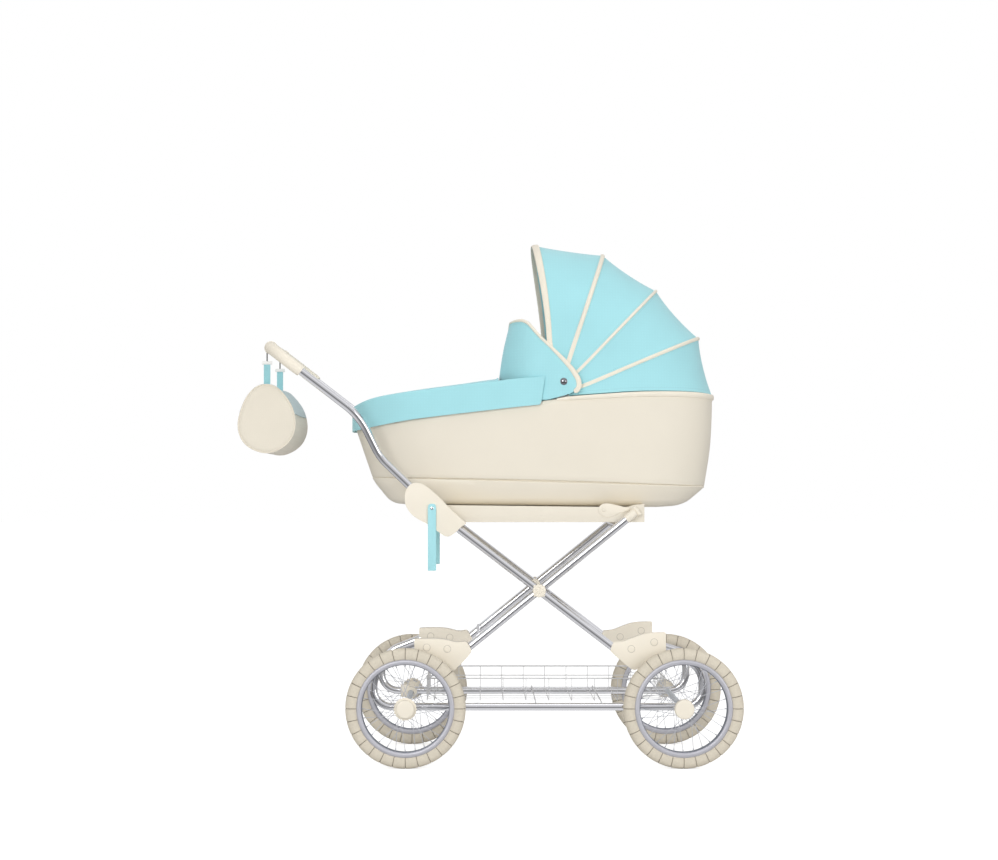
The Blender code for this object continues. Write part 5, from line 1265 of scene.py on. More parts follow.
class CARRIAGE_OT_housings(bpy.types.Operator):
    """Moulded handle housings and the blue release levers"""

    bl_idname = "carriage.housings"
    bl_label = "Handle housings and levers"

    def execute(self, context):
        for side_name, side in SIDES:
            body = plate("housing", soften(HOUSING), *HOUSING_LAYER, side)
            round_edges(body, 0.0022, 4)
            carve(body, self.slot(side))
            pin = cross_bar("pin", HANDLE_PIVOT, side * 0.2210, side * 0.2465, 0.004)
            x, z = LEVER_PIVOT
            stud = cross_bar("stud", LEVER_PIVOT, side * 0.2465, side * 0.2526, 0.0024)
            housing = join(f"housing_moulding_{side_name}", [body, pin, stud])
            finish(housing, "falling_frame", "moulding", [f"handle_housing_{side_name}"], 30)
            head = spun("head", [
                (0.0, 0.0), (0.0038, 0.0), (0.0038, 0.0005), (0.0028, 0.0010), (0.0, 0.0012),
            ], (x, side * 0.2521, z), side, 24)
            finish(join(f"lever_rivet_{side_name}", [head]), "falling_frame", "chrome")
            self.lever(side_name, side)
        return {"FINISHED"}

    def slot(self, side):
        """The space that the handle's lower end sweeps."""
        rest = math.atan2(HANDLE_BEND[1] - HANDLE_PIVOT.y, HANDLE_BEND[0] - HANDLE_PIVOT.x)
        forward = rest - math.radians(15)
        back = rest + math.radians(40)
        offset = 0.0115
        tangent = math.acos(offset / 0.016)

        def out(turn, reach):
            return HANDLE_PIVOT + Vector((math.cos(turn), math.sin(turn))) * reach

        outline = [out(forward - math.pi / 2, offset) + out(forward, 0.1) - HANDLE_PIVOT]
        start = forward - math.pi / 2 + tangent
        end = back - 1.5 * math.pi - tangent
        for step in range(25):
            outline.append(out(start + (end - start) * step / 24, 0.016))
        outline.append(out(back + math.pi / 2, offset) + out(back, 0.1) - HANDLE_PIVOT)
        outline.append(out((forward + back) / 2, 0.15))
        return plate("slot", [tuple(point) for point in outline], *HOUSING_SLOT, side)

    def lever(self, side_name, side):
        x = LEVER_PIVOT.x
        half = 0.0100
        top = 0.6363
        low = 0.4750
        outline = (
            (x - half, low, 0.12), (x + half, low, 0.12), (x + half, low + 0.010), (x + half, 0.6150),
            (x + half - 0.0002, top - 0.003, 0.5), (x + 0.0045, top + 0.0002), (x - 0.0045, top + 0.0002),
            (x - half + 0.0002, top - 0.003, 0.5), (x - half, 0.6150), (x - half, low + 0.010),
        )
        corners = [(a, b, c[0] if c else 0.4) for a, b, *c in outline]
        lever = plate("lever", soften(corners, 4), *LEVER_LAYER, side, 0.0009, 3)
        carve(lever, cross_bar("hole", LEVER_PIVOT, side * 0.2450, side * 0.2550, 0.0028, 20))
        blade = join(f"lever_blade_{side_name}", [lever])
        finish(blade, f"lever_{side_name}", "lever", [f"release_lever_{side_name}"])


GRIP_END = -0.4511
GRIP_STEP = 0.004


class CARRIAGE_OT_handle(bpy.types.Operator):
    """Bent chrome handle with its moulded grip"""

    bl_idname = "carriage.handle"
    bl_label = "Handle"

    def execute(self, context):
        pivot = at(HANDLE_PIVOT.x, HANDLE_Y, HANDLE_PIVOT.y)
        low = at(HANDLE_BEND[0], HANDLE_Y, HANDLE_BEND[1])
        start = pivot + (pivot - low).normalized() * 0.012
        left = [start, low, at(-0.3124, 0.250, 0.8486), at(HANDLE_BAR.x, 0.295, HANDLE_BAR.y)]
        right = [at(point.x, -point.y, point.z) for point in reversed(left)]
        fillets = [0.120, 0.180, 0.090]
        route = rounded_path(left + right, fillets + fillets[::-1], 12)
        tube = bent_bar("handle_bar", route, sizes().handle_radius, 24)
        finish(tube, "handle", "chrome", ["handle_tube"])
        first = next(index for index, point in enumerate(route) if point.x < GRIP_END)
        before, after = route[first - 1], route[first]
        begin = before.lerp(after, (GRIP_END - before.x) / (after.x - before.x))
        self.grip([begin] + route[first:-first] + [at(begin.x, -begin.y, begin.z)])
        return {"FINISHED"}

    def grip(self, route):
        """Moulded sleeve, slightly swollen, with fine rings near both ends."""
        fine = []
        for before, after in zip(route, route[1:]):
            count = max(int((after - before).length / GRIP_STEP), 1)
            fine += [before.lerp(after, step / count) for step in range(count)]
        fine.append(route[-1])
        lengths = run_lengths(fine)
        total = lengths[-1]
        rings = []
        normal = None
        for index, point in enumerate(fine):
            onward = onward_at(fine, index)
            if normal is None:
                normal = onward.orthogonal().normalized()
            normal = (normal - onward * normal.dot(onward)).normalized()
            other = onward.cross(normal)
            near_end = min(lengths[index], total - lengths[index])
            radius = sizes().grip_radius - 0.0016 * math.exp(-near_end / GRIP_STEP)
            if 0.008 < near_end < 0.030 and int(near_end / GRIP_STEP) % 2 == 0:
                radius -= 0.0005
            rings.append([
                point + (normal * math.cos(turn) + other * math.sin(turn)) * radius
                for turn in (2 * math.pi * step / 28 for step in range(28))
            ])
        grip = ring_body("handle_sleeve", rings)
        finish(grip, "handle", "grip", ["handle_grip"], 50)


BAG_MIDDLE = Vector((-0.5410, 0.8400))
BAG_HALF = 0.200
# Depth from the bag's end and the share of its outline there
BAG_END = ((0.0, 0.30), (0.0004, 0.62), (0.0012, 0.86), (0.0030, 0.965), (0.0060, 0.999))


class CARRIAGE_OT_bag(bpy.types.Operator):
    """Hanging bag with egg-shaped ends, sewn edges, a blue-grey sheet of painted shade over its top, and its
    two hooks
    """

    bl_idname = "carriage.bag"
    bl_label = "Bag and hooks"

    def execute(self, context):
        outline = soften(EGG, 6)
        levels = [(-BAG_HALF + depth, scale) for depth, scale in BAG_END]
        levels += [(-BAG_HALF + 0.006 + (2 * BAG_HALF - 0.012) * step / 24, None) for step in range(1, 24)]
        levels += [(BAG_HALF - depth, scale) for depth, scale in reversed(BAG_END)]
        rings = []
        for y, scale in levels:
            ring = []
            for point in outline:
                away = Vector(point) - BAG_MIDDLE
                share = scale or self.fullness(away, y)
                ring.append(at(BAG_MIDDLE.x + away.x * share, y, BAG_MIDDLE.y + away.y * share))
            rings.append(ring)
        bag = ring_body("bag_shell", rings)
        finish(bag, "bag", "bag", ["bag_body"], 60)
        self.welts(outline)
        self.lid(outline)
        for side_name, side in SIDES:
            self.hook(side_name, side)
        return {"FINISHED"}

    def fullness(self, away, y):
        """Share of the end's outline that the cloth fills: waved, drawn in on top and full underneath."""
        slack = 1 - (abs(y) / BAG_HALF) ** 2
        turn = math.atan2(away.y, away.x)
        wave = 0.006 * math.sin(3 * turn + 14 * y) * slack
        under = max(-math.sin(turn), 0.0)
        return 0.999 - 0.040 * slack * (1 - under) + 0.004 * slack * under + wave

    def welts(self, outline):
        x0, z0 = BAG_MIDDLE
        for side_name, side in SIDES:
            y = side * (BAG_HALF - 0.0045)
            route = [at(x0 + (x - x0) * 0.996, y, z0 + (z - z0) * 0.996) for x, z in outline]
            welt = bent_bar(f"bag_welt_{side_name}", route, 0.0016, 10, closed=True)
            finish(welt, "bag", "bag")

    def lid(self, outline):
        """Blue-grey sheet over the top of the bag, down to a sewn edge: its tint is painted shade, with blue
        reflected from the cloth nearby.
        """
        lowest = min(range(len(outline)), key=lambda i: outline[i][1])
        top = [point for point in outline[lowest:] + outline[:lowest] if point[1] > 0.850]
        rows = []
        for step in range(29):
            y = -BAG_HALF + 0.008 + (2 * BAG_HALF - 0.016) * step / 28
            row = []
            for point in top:
                away = Vector(point) - BAG_MIDDLE
                place = BAG_MIDDLE + away * self.fullness(away, y) + away.normalized() * 0.0022
                row.append(at(place.x, y, place.y))
            rows.append(row)
        lid = cloth_grid("bag_lid", rows)
        face_outwards(lid, lambda place: place - at(BAG_MIDDLE.x, place.y, BAG_MIDDLE.y))
        thicken(lid, 0.0018)
        finish(lid, "bag", "bag_lid", (), 60)

    def hook(self, side_name, side):
        """Collar round the grip, a wire, a small bar, and a webbing strap down to the bag."""
        y = side * 0.184
        x = BAG_MIDDLE.x
        hook = side_bar(f"bag_hook_{side_name}", (x, 0.9800), (x, 1.0050), y, 0.0015, 12)
        finish(hook, "bag", "hook", [f"bag_hanger_{side_name}"])
        band = [
            (0.0147, -0.0042), (0.0155, -0.0042), (0.0162, -0.0032), (0.0162, 0.0032), (0.0155, 0.0042),
            (0.0147, 0.0042),
        ]
        collar = spun(f"bag_collar_{side_name}", band, (HANDLE_BAR.x, y, HANDLE_BAR.y), 1, 40, closed=True)
        finish(collar, "bag", "moulding")
        low, high = (-0.5532, y - 0.0034, 0.9762), (-0.5288, y + 0.0034, 0.9844)
        clip = block(f"bag_clip_{side_name}", low, high, 0.0012)
        finish(clip, "bag", "clip")
        section = [(-0.0080, -0.0008), (0.0080, -0.0008), (0.0080, 0.0008), (-0.0080, 0.0008)]
        frames = [(at(x, y, z), at(1, 0, 0), at(0, 1, 0)) for z in (0.9775, 0.965, 0.950, 0.935, 0.9255)]
        strap = swept(f"bag_strap_{side_name}", frames, section)
        round_edges(strap, 0.0004, 2)
        finish(strap, "bag", "strap")


class CARRIAGE_OT_basket(bpy.types.Operator):
    """Open basket of light wires on three rods"""

    bl_idname = "carriage.basket"
    bl_label = "Wire basket"

    def execute(self, context):
        rear, front, half, top, floor = -0.150, 0.430, 0.200, 0.211, 0.1563
        thin = sizes().wire
        pieces = []
        for z, radius in ((top, 0.0017), (0.1870, 0.0012)):
            corners = ((rear, -half), (front, -half), (front, half), (rear, half))
            shares = [(x, y, 0.05) for x, y in corners]
            route = [at(x, y, z) for x, y in soften(shares, 5)]
            pieces.append(bent_bar("rim", route, radius, 10, closed=True))
        hoop = [at(0, -half, top), at(0, -half, floor), at(0, half, floor), at(0, half, top)]
        hoop = bent_bar("hoop", rounded_path(hoop, (0.008, 0.008), 4), thin * 1.15, 8)
        places = [rear] + [-0.132 + 0.0558 * i for i in range(sizes().basket_hoops)] + [front]
        pieces += spread(hoop, [(x, 0, 0) for x in places])
        run = [at(rear, 0, top), at(rear, 0, floor), at(front, 0, floor), at(front, 0, top)]
        run = bent_bar("run", rounded_path(run, (0.008, 0.008), 4), thin, 8)
        pieces += spread(run, [(0, -half + 2 * half * i / 8, 0) for i in range(1, 8)])
        for share in (0.09, 0.455, 0.73):
            x = rear + (front - rear) * share
            pieces.append(cross_bar("rod", (x, floor), -0.236, 0.236, 0.0015, 12))
        basket = join("basket_wires", pieces)
        finish(basket, "rear_frame", "wire", ["wire_basket"], 60)
        return {"FINISHED"}


# Carrycot

def cot_ring(rear, front, half_width, height, steps=120):
    """Points round the carrycot's plan."""
    ring = []
    for step in range(steps):
        u, v = superellipse(2 * math.pi * (step + 0.5) / steps, 3.0)
        ring.append(at((rear + front) / 2 + (front - rear) / 2 * u, half_width * v, height(u)))
    return ring


def wall_ring(share, inwards, rise=0.0):
    """Ring on the carrycot's wall, share of the way from seam to rim."""
    def height(u):
        along = (u + 1) / 2
        seam_x = SHELL_REAR[0][1] + along * (SHELL_FRONT[0][1] - SHELL_REAR[0][1])
        rim_x = SHELL_REAR[-1][1] + along * (SHELL_FRONT[-1][1] - SHELL_REAR[-1][1])
        return (1 - share) * between(SEAM_LINE, seam_x) + share * between(RIM_LINE, rim_x) + rise
    rear = between(SHELL_REAR, share) + inwards
    front = between(SHELL_FRONT, share) - inwards
    return cot_ring(rear, front, between(SHELL_SIDE, share) - inwards, height)


def level_ring(rear, front, half_width, drop=0.0):
    """Ring in the plane through the rear and front (x, z) points."""
    def height(u):
        return rear[1] + (u + 1) / 2 * (front[1] - rear[1]) + drop
    return cot_ring(rear[0], front[0], half_width, height)


def tub_floor(x):
    """Height of the tub's underside."""
    rear, front = TUB_LEVELS[-1][:2]
    return rear[1] + (x - rear[0]) * (front[1] - rear[1]) / (front[0] - rear[0])


def mark_hem(sheet, rows, line, edges):
    """Stores the distance along a line of the cloth, and the distances from its edges, for the stitches."""
    data = sheet.data.attributes.new("hem", "FLOAT_VECTOR", "POINT")
    along = run_lengths(line)
    values = [(along[index], *edges(index, point)) for row in rows for index, point in enumerate(row)]
    for index in range(len(sheet.data.vertices)):
        data.data[index].vector = values[index % len(values)]


TRIM_START = 0.166
TRIM_SECTION = (
    (0.0060, -0.0060), (0.0072, -0.0045), (0.0080, -0.0015), (0.0076, 0.0020), (0.0058, 0.0048),
    (0.0028, 0.0062), (-0.0010, 0.0062), (-0.0036, 0.0046), (-0.0046, 0.0015), (-0.0044, -0.0040),
    (-0.0034, -0.0060),
)


class CARRIAGE_OT_carrycot(bpy.types.Operator):
    """Carrycot wall, rolled rim trim, hood hinges, tub and lining"""

    bl_idname = "carriage.carrycot"
    bl_label = "Carrycot"

    def execute(self, context):
        self.wall()
        self.trim()
        self.hinges()
        self.tub()
        self.lining()
        return {"FINISHED"}

    def wall(self):
        rings = [wall_ring(0.0, 0.0030, 0.0002), wall_ring(0.0, 0.0008, 0.0006), wall_ring(0.012, 0.0, 0.0)]
        rings += [wall_ring(share / 14, 0.0) for share in range(1, 14)]
        rings += [wall_ring(0.985, 0.0), wall_ring(1.0, 0.0020, 0.0)]
        rings += [wall_ring(1.0, 0.0060, 0.0), wall_ring(0.97, 0.0070), wall_ring(0.7, 0.0070)]
        rings += [wall_ring(0.35, 0.0070), wall_ring(0.0, 0.0070, 0.0002)]
        wall = ring_body("carrycot_wall", rings, "bridge")
        finish(wall, "carrycot", "shell", ["cot_shell"], 50)

    def trim(self):
        """Rolled trim that caps the wall round the head end."""
        line = wall_ring(1.0, 0.0030, -0.0010)
        half = len(line) // 2
        line = line[half:] + line[:half]
        near = next(index for index, point in enumerate(line) if point.x > TRIM_START)
        share = (TRIM_START - line[near - 1].x) / (line[near].x - line[near - 1].x)
        start = line[near - 1].lerp(line[near], share)
        line = [point for point in line if point.x > TRIM_START]
        line = [start] + line + [at(start.x, -start.y, start.z)]
        frames = []
        for index, point in enumerate(line):
            onward = onward_at(line, index)
            out = onward.cross(at(0, 0, 1)).normalized()
            size = min(0.60 + 0.40 * min(index, len(line) - 1 - index), 1.0)
            tall = 0.85 + 0.30 * clamp((point.x - 0.20) / 0.20)
            frames.append((point, out * size, out.cross(onward).normalized() * -size * tall))
        finish(swept("rim_trim", frames, TRIM_SECTION), "carrycot", "moulding", (), 60)

    def hinges(self):
        x, z = HOOD_PIVOT
        pieces = []
        for _, side in SIDES:
            half = 0.015
            outline = [
                (x - half, z - 0.070, 0.1), (x + half, z - 0.070, 0.1), (x + half, z),
                (x + 0.011, z + 0.011), (x, z + half), (x - 0.011, z + 0.011), (x - half, z),
            ]
            pieces.append(plate("hinge", soften(outline, 4), *HINGE_LAYER, side, 0.0005, 2))
            pieces.append(block(
                "foot", (x - half + 0.001, min(side * 0.1985, side * 0.2070), z - 0.068),
                (x + half - 0.001, max(side * 0.1985, side * 0.2070), z - 0.050), 0.001, 2,
            ))
            pieces.append(cross_bar("pin", HOOD_PIVOT, side * 0.1975, side * 0.2133, 0.0024))
        finish(join("hood_hinges", pieces), "carrycot", "clip")

    def tub(self):
        rear, front, half = TUB_LEVELS[0]
        rings = [
            level_ring(rear, front, half - 0.0032, -0.0004), level_ring(rear, front, half - 0.0010, -0.0008),
            level_ring(rear, front, half, -0.0026),
        ]
        rings += [level_ring(*self.level(step / 3)) for step in range(3, 3 * (len(TUB_LEVELS) - 1) + 1)]
        rear, front, half = TUB_LEVELS[-1]
        middle = (rear[0] + front[0]) / 2
        for scale in (0.8, 0.5, 0.2):
            reach = (front[0] - rear[0]) / 2 * scale
            ends = [(x, tub_floor(x)) for x in (middle - reach, middle + reach)]
            rings.append(level_ring(*ends, half * scale))
        rings.append(level_ring((0.05, tub_floor(0.05) + 0.0045), (0.16, tub_floor(0.16) + 0.0045), 0.05))
        for rear, front, half in reversed(TUB_LEVELS):
            inner_rear = (rear[0] + 0.006, rear[1] + 0.004)
            rings.append(level_ring(inner_rear, (front[0] - 0.006, front[1] + 0.004), half - 0.006))
        finish(ring_body("carrycot_tub", rings, "bridge"), "carrycot", "tub", ["cot_tub"], 50)

    def level(self, place):
        """Tub level at a place between the listed ones, as rear (x, z), front (x, z) and half width."""
        rows = [(*rear, *front, half) for rear, front, half in TUB_LEVELS]
        columns = [list(enumerate(column)) for column in zip(*rows)]
        rear_x, rear_z, front_x, front_z, half = (between(column, place) for column in columns)
        return (rear_x, rear_z), (front_x, front_z), half

    def lining(self):
        """Quilted cloth inside the wall, gathered over the rim's inner edge."""
        rings = [wall_ring(max(0.955 - index * 0.078, 0.0), 0.0095) for index in range(13)]
        waved = []
        for level, ring in enumerate(rings):
            row = []
            for step, point in enumerate(ring):
                push = 0.0008 * math.sin(step * 2 * math.pi / 6) * math.sin(level * math.pi / 2 + 0.4)
                middle = at(0.115, 0, point.z)
                row.append(point + (middle - point).normalized() * (0.0010 + push))
            waved.append(row)
        lining = ring_body("cot_lining", waved, "open")
        face_outwards(lining, lambda place: at(0.115, 0, place.z) - place)
        thicken(lining, 0.0014)
        finish(lining, "carrycot", "lining", (), 70)


class CARRIAGE_OT_platform(bpy.types.Operator):
    """Platform under the tub with its latches"""

    bl_idname = "carriage.platform"
    bl_label = "Platform and latches"

    def execute(self, context):
        rear, front = -0.1080, 0.3799
        low = 0.5914

        def top(x):
            return tub_floor(x) - 0.0004

        outline = soften((
            (rear, low, 0.012), (front, low, 0.014), (front, 0.6352, 0.05), (0.3560, 0.6340),
            (0.3400, top(0.34), 0.2),
            (rear, top(rear), 0.01),
        ), 5)
        body = plate("platform", outline, -0.198, 0.198, 1)
        carve(body, block("pocket", (rear + 0.003, -0.195, low - 0.01), (front - 0.003, 0.195, 0.6215)))
        round_edges(body, 0.0016, 3)
        pieces = [body]
        for _, side in SIDES:
            x, z = LATCH_PIVOT
            pieces.append(spun("stud", [
                (0.0, 0.0), (0.0024, 0.0), (0.0024, 0.0046), (0.0050, 0.0046), (0.0050, 0.0052),
                (0.0042, 0.0059), (0.0, 0.0060),
            ], (x, side * 0.196, z), side, 24))
        finish(join("platform_moulding", pieces), "carrycot", "shell", ["cot_base"], 30)
        for side_name, side in SIDES:
            link = plate("latch", soften(LATCH), *LATCH_LAYER, side, 0.0006, 2)
            x, z = LATCH_PIVOT
            ring = spun("ring", [
                (0.0078, -0.0006), (0.0078, 0.0002), (0.0074, 0.0005), (0.0068, 0.0005),
                (0.0064, 0.0002), (0.0064, -0.0006),
            ], (x, side * LATCH_LAYER[1], z), side, 32, closed=True)
            blade = join(f"latch_blade_{side_name}", [link, ring])
            finish(blade, f"latch_{side_name}", "moulding", [f"latch_link_{side_name}"])
        return {"FINISHED"}


SWELL_FRAMES = 14
SWELL_REACH = 0.006


class CARRIAGE_OT_mattress(bpy.types.Operator):
    """Padded mattress, swollen by a short cloth simulation, with a sewn edge"""

    bl_idname = "carriage.mattress"
    bl_label = "Mattress"

    def execute(self, context):
        rings = []
        for rear, front, half, height in (
            (-0.205, 0.415, 0.128, 0.0), (-0.228, 0.441, 0.150, 0.012), (-0.233, 0.456, 0.158, 0.024),
            (-0.228, 0.450, 0.153, 0.034), (-0.205, 0.425, 0.135, 0.040),
        ):
            rings.append(self.ring(rear, front, half, height))
        pad = ring_body("mattress_pad", rings)
        self.swell(pad, context)
        finish(pad, "carrycot", "lining", ["mattress"], 70)
        route = self.ring(-0.2355, 0.4585, 0.1600, 0.026)
        welt = bent_bar("mattress_welt", route, 0.0022, 10, closed=True)
        finish(welt, "carrycot", "lining")
        return {"FINISHED"}

    def ring(self, rear, front, half, height):
        return level_ring((rear, self.floor(rear) + height), (front, self.floor(front) + height), half)

    def floor(self, x):
        """Height that the mattress lies at."""
        return tub_floor(x) + 0.0068

    def swell(self, pad, context):
        shaped_by(pad, "REMESH", mode="VOXEL", voxel_size=0.007)
        before = [vert.co.copy() for vert in pad.data.vertices]
        cloth = pad.modifiers.new("Cloth", "CLOTH")
        cloth.settings.use_pressure = True
        cloth.settings.uniform_pressure_force = 3.0
        cloth.settings.effector_weights.gravity = 0.0
        cloth.point_cache.frame_start = 1
        cloth.point_cache.frame_end = SWELL_FRAMES
        for step in range(1, SWELL_FRAMES + 1):
            context.scene.frame_set(step)
        only(pad)
        bpy.ops.object.modifier_apply(modifier=cloth.name)
        context.scene.frame_set(1)
        for vert, start in zip(pad.data.vertices, before):
            away = vert.co - start
            if away.length > SWELL_REACH:
                away = away.normalized() * SWELL_REACH
            place = start + away
            vert.co = (place.x, place.y, max(place.z, self.floor(place.x)))


APRON_FRONT = 0.022


class CARRIAGE_OT_apron(bpy.types.Operator):
    """Cloth apron over the foot end, with a valance outside the rim"""

    bl_idname = "carriage.apron"
    bl_label = "Apron"

    def execute(self, context):
        out = 0.0090
        rear = SHELL_REAR[-1][1] - out
        front = SHELL_FRONT[-1][1] + out
        half = SHELL_SIDE[-1][1] + out
        middle = (rear + front) / 2

        def ring(scale, height):
            points = cot_ring(rear, front, half, lambda u: 0.0, 160)
            row = []
            for point in points:
                x = middle + (point.x - middle) * scale
                row.append(at(x, point.y * scale, height(x, point)))
            return row

        rings = []
        for step in range(9):
            share = step / 8
            rings.append(ring(
                1.0, lambda x, p, s=share: between(APRON_HEM, x) * (1 - s) + self.wall_top(x) * s
            ))
        for scale, drop in ((0.9980, 0.0026), (0.9945, 0.0008), (0.9880, 0.0002)):
            rings.append(ring(scale, lambda x, p, d=drop: between(APRON_TOP_SIDE, x) - d))
        for scale in (0.955, 0.92, 0.87, 0.80, 0.70, 0.58, 0.44, 0.30, 0.15, 0.03):
            def height(x, p, s=scale):
                crown = between(APRON_TOP_MID, x) - between(APRON_TOP_SIDE, x)
                ripple = 0.0012 * math.sin(38 * x + 9 * p.y) * math.sin(20 * p.y * s)
                return between(APRON_TOP_SIDE, x) + (1 - s ** 1.6) * crown + ripple * (1 - s)
            rings.append(ring(scale, height))
        apron = ring_body("apron_cloth", rings, "open")
        self.trim_cloth(apron)
        face_outwards(apron, lambda place: place - at(0.1, 0, 0.80))
        thicken(apron, 0.0024)
        end = (
            (0.1402, 0.9700, 0.02), (0.1290, 0.8890, 0.02), (0.1276, 0.8825, 0.5), (0.1250, 0.8782, 0.5),
            (0.1200, 0.8745, 0.02), (0.1100, 0.8600, 0.02), (0.2500, 0.8600, 0.02), (0.2500, 0.9700, 0.02),
        )
        carve(apron, plate("end", soften(end, 5), -0.3, 0.3, 1))
        finish(apron, "carrycot", "cloth", ["apron"], 50)
        self.piping()
        return {"FINISHED"}

    def wall_top(self, x):
        """Top of the upright part: below the rounded shoulder, and full height in front of it."""
        share = clamp((x + 0.010) / 0.040)
        share = share * share * (3 - 2 * share)
        return between(APRON_TOP_SIDE, x) - 0.0060 + 0.0055 * share

    def trim_cloth(self, apron):
        """Cuts away the part in front, down to the valance's two ends."""
        only(apron)
        bpy.ops.object.mode_set(mode="EDIT")
        bpy.ops.mesh.select_mode(type="FACE")
        bpy.ops.mesh.select_all(action="SELECT")
        bpy.ops.mesh.bisect(plane_co=(0.160, 0, 0.9), plane_no=(1.0, 0, 0), clear_outer=True)
        shape = bmesh.from_edit_mesh(apron.data)
        for face in shape.faces:
            centre = face.calc_center_median()
            face.select = centre.x > 0 and abs(centre.y) < 0.2206
        bmesh.update_edit_mesh(apron.data)
        bpy.ops.mesh.bisect(plane_co=(APRON_FRONT, 0, 0.9), plane_no=(1.0, 0, 0.0), clear_outer=True)
        leave_edit()

    def piping(self):
        """Corded front edge of the top."""
        side = between(APRON_TOP_SIDE, APRON_FRONT)
        crown = between(APRON_TOP_MID, APRON_FRONT) - side
        half = 0.2130
        route = []
        for step in range(25):
            y = -half + 2 * half * step / 24
            route.append(at(0.0225, y, side + crown * (1 - (abs(y) / half) ** 3) - 0.0012))
        cord = bent_bar("apron_edge", route, 0.0024, 12)
        finish(cord, "carrycot", "cloth")


FLAP_FRONT = 0.0291
FLAP_SIDE = 0.2160
FLAP_CORNER = 0.100


class CARRIAGE_OT_flap(bpy.types.Operator):
    """Upright wind flap with a corded edge and press studs"""

    bl_idname = "carriage.flap"
    bl_label = "Wind flap"

    def execute(self, context):
        plan = self.plan()
        rows = []
        count = 14
        for row in range(count + 1):
            share = row / count
            points = []
            for x, y, lean, swell in plan:
                bottom = between(FLAP_BOTTOM, x)
                z = bottom + share * (between(FLAP_TOP, x) - bottom)
                puff = swell * 0.004 * math.sin(math.pi * share)
                forward = x + lean * (0.187 * max(z - 0.9516, 0.0)) - lean * puff
                points.append(at(forward, y + math.copysign(puff * (1 - lean), y), z))
            rows.append(points)
        flap = cloth_grid("flap_cloth", rows)
        face_outwards(flap, lambda place: at(-1, 0, 0))
        thicken(flap, 0.0020)
        mark_hem(flap, rows, rows[-1], lambda index, point: ((rows[-1][index] - point).length, 1.0))
        finish(flap, "flap", "stitched", ["wind_flap"], 50)
        self.cord(rows)
        for side_name, side in SIDES:
            x, z = HOOD_PIVOT
            stud = spun("stud", [
                (0.0, 0.0), (0.0086, 0.0), (0.0088, 0.0005), (0.0084, 0.0012), (0.0076, 0.0015),
                (0.0071, 0.0013), (0.0066, 0.0018), (0.0052, 0.0027), (0.0032, 0.0033), (0.0, 0.0036),
            ], (x, side * STUD_Y, z), side, 40)
            finish(join(f"stud_cap_{side_name}", [stud]), "flap", "stud", [f"snap_stud_{side_name}"])
        return {"FINISHED"}

    def cord(self, rows):
        """Piping along the top edge and round each lobe's tip, broadest at the lobes."""
        tip = [
            (0.2075, 0.9088), (0.2118, 0.9108), (0.2158, 0.9141), (0.2186, 0.9185), (0.2198, 0.9238),
            (0.2198, 0.9295), (0.2188, 0.9355), (0.2165, 0.9425),
        ]
        near = [at(x, rows[0][0].y, z) for x, z in tip]
        top = [point for point in rows[-1] if abs(point.y) < 0.2150 or point.x < 0.2115]
        route = near + top + [at(point.x, -point.y, point.z) for point in reversed(near)]
        frames = []
        for index, point in enumerate(route):
            onward = onward_at(route, index)
            flat = at(onward.y, -onward.x, 0).normalized()
            if abs(point.y) > 0.2155:
                flat = at(0, math.copysign(1.0, point.y), 0)
            across = onward.cross(flat).normalized()
            broad = clamp((point.x - 0.150) / 0.060)
            slim = clamp((point.x - FLAP_FRONT) / 0.050)
            wide = 0.0014 + 0.0024 * slim + 0.0026 * broad
            ends = 0.60 + 0.40 * min(index, len(route) - 1 - index, 1)
            down = 0.0010 * (1 - slim)
            thick = 0.0016 + 0.0018 * slim
            frames.append((point - at(0, 0, down), across * wide * ends, flat * thick * ends))
        piping = swept("flap_piping", frames, oval(1.0, 1.0, 14))
        finish(piping, "flap", "piping", (), 60)

    def plan(self):
        """Points (x, y, lean, swell) of the flap from above, from one lobe round the front to the other."""
        outer = FLAP_SIDE
        corner = FLAP_CORNER
        plan = []
        xs = [0.2160, 0.2156, 0.2150, 0.2135, 0.2110, 0.2060, 0.1998, 0.1900, 0.1804, 0.1653, 0.1498, 0.1390]
        plan += [(x, outer, 0.0, 0.0) for x in xs]
        for step in range(17):
            turn = math.pi / 2 * step / 16
            x = FLAP_FRONT + corner - corner * math.sin(turn)
            plan.append((x, outer - corner + corner * math.cos(turn), math.sin(turn), math.sin(turn)))
        for y in (0.100, 0.080, 0.060, 0.040, 0.020, 0.0):
            plan.append((FLAP_FRONT, y, 1.0, 1.0))
        return plan + [(x, -y, lean, swell) for x, y, lean, swell in reversed(plan[:-1])]


def arch(radius, half_width, steps=56, leg=0.100):
    """(y, reach) points of a bow, from one leg over the top to the other."""
    points = []
    for step in range(steps + 1):
        u, v = superellipse(math.pi * step / steps, 2.4)
        points.append((half_width * u, leg + (radius - leg) * max(v, 0.0)))
    return points


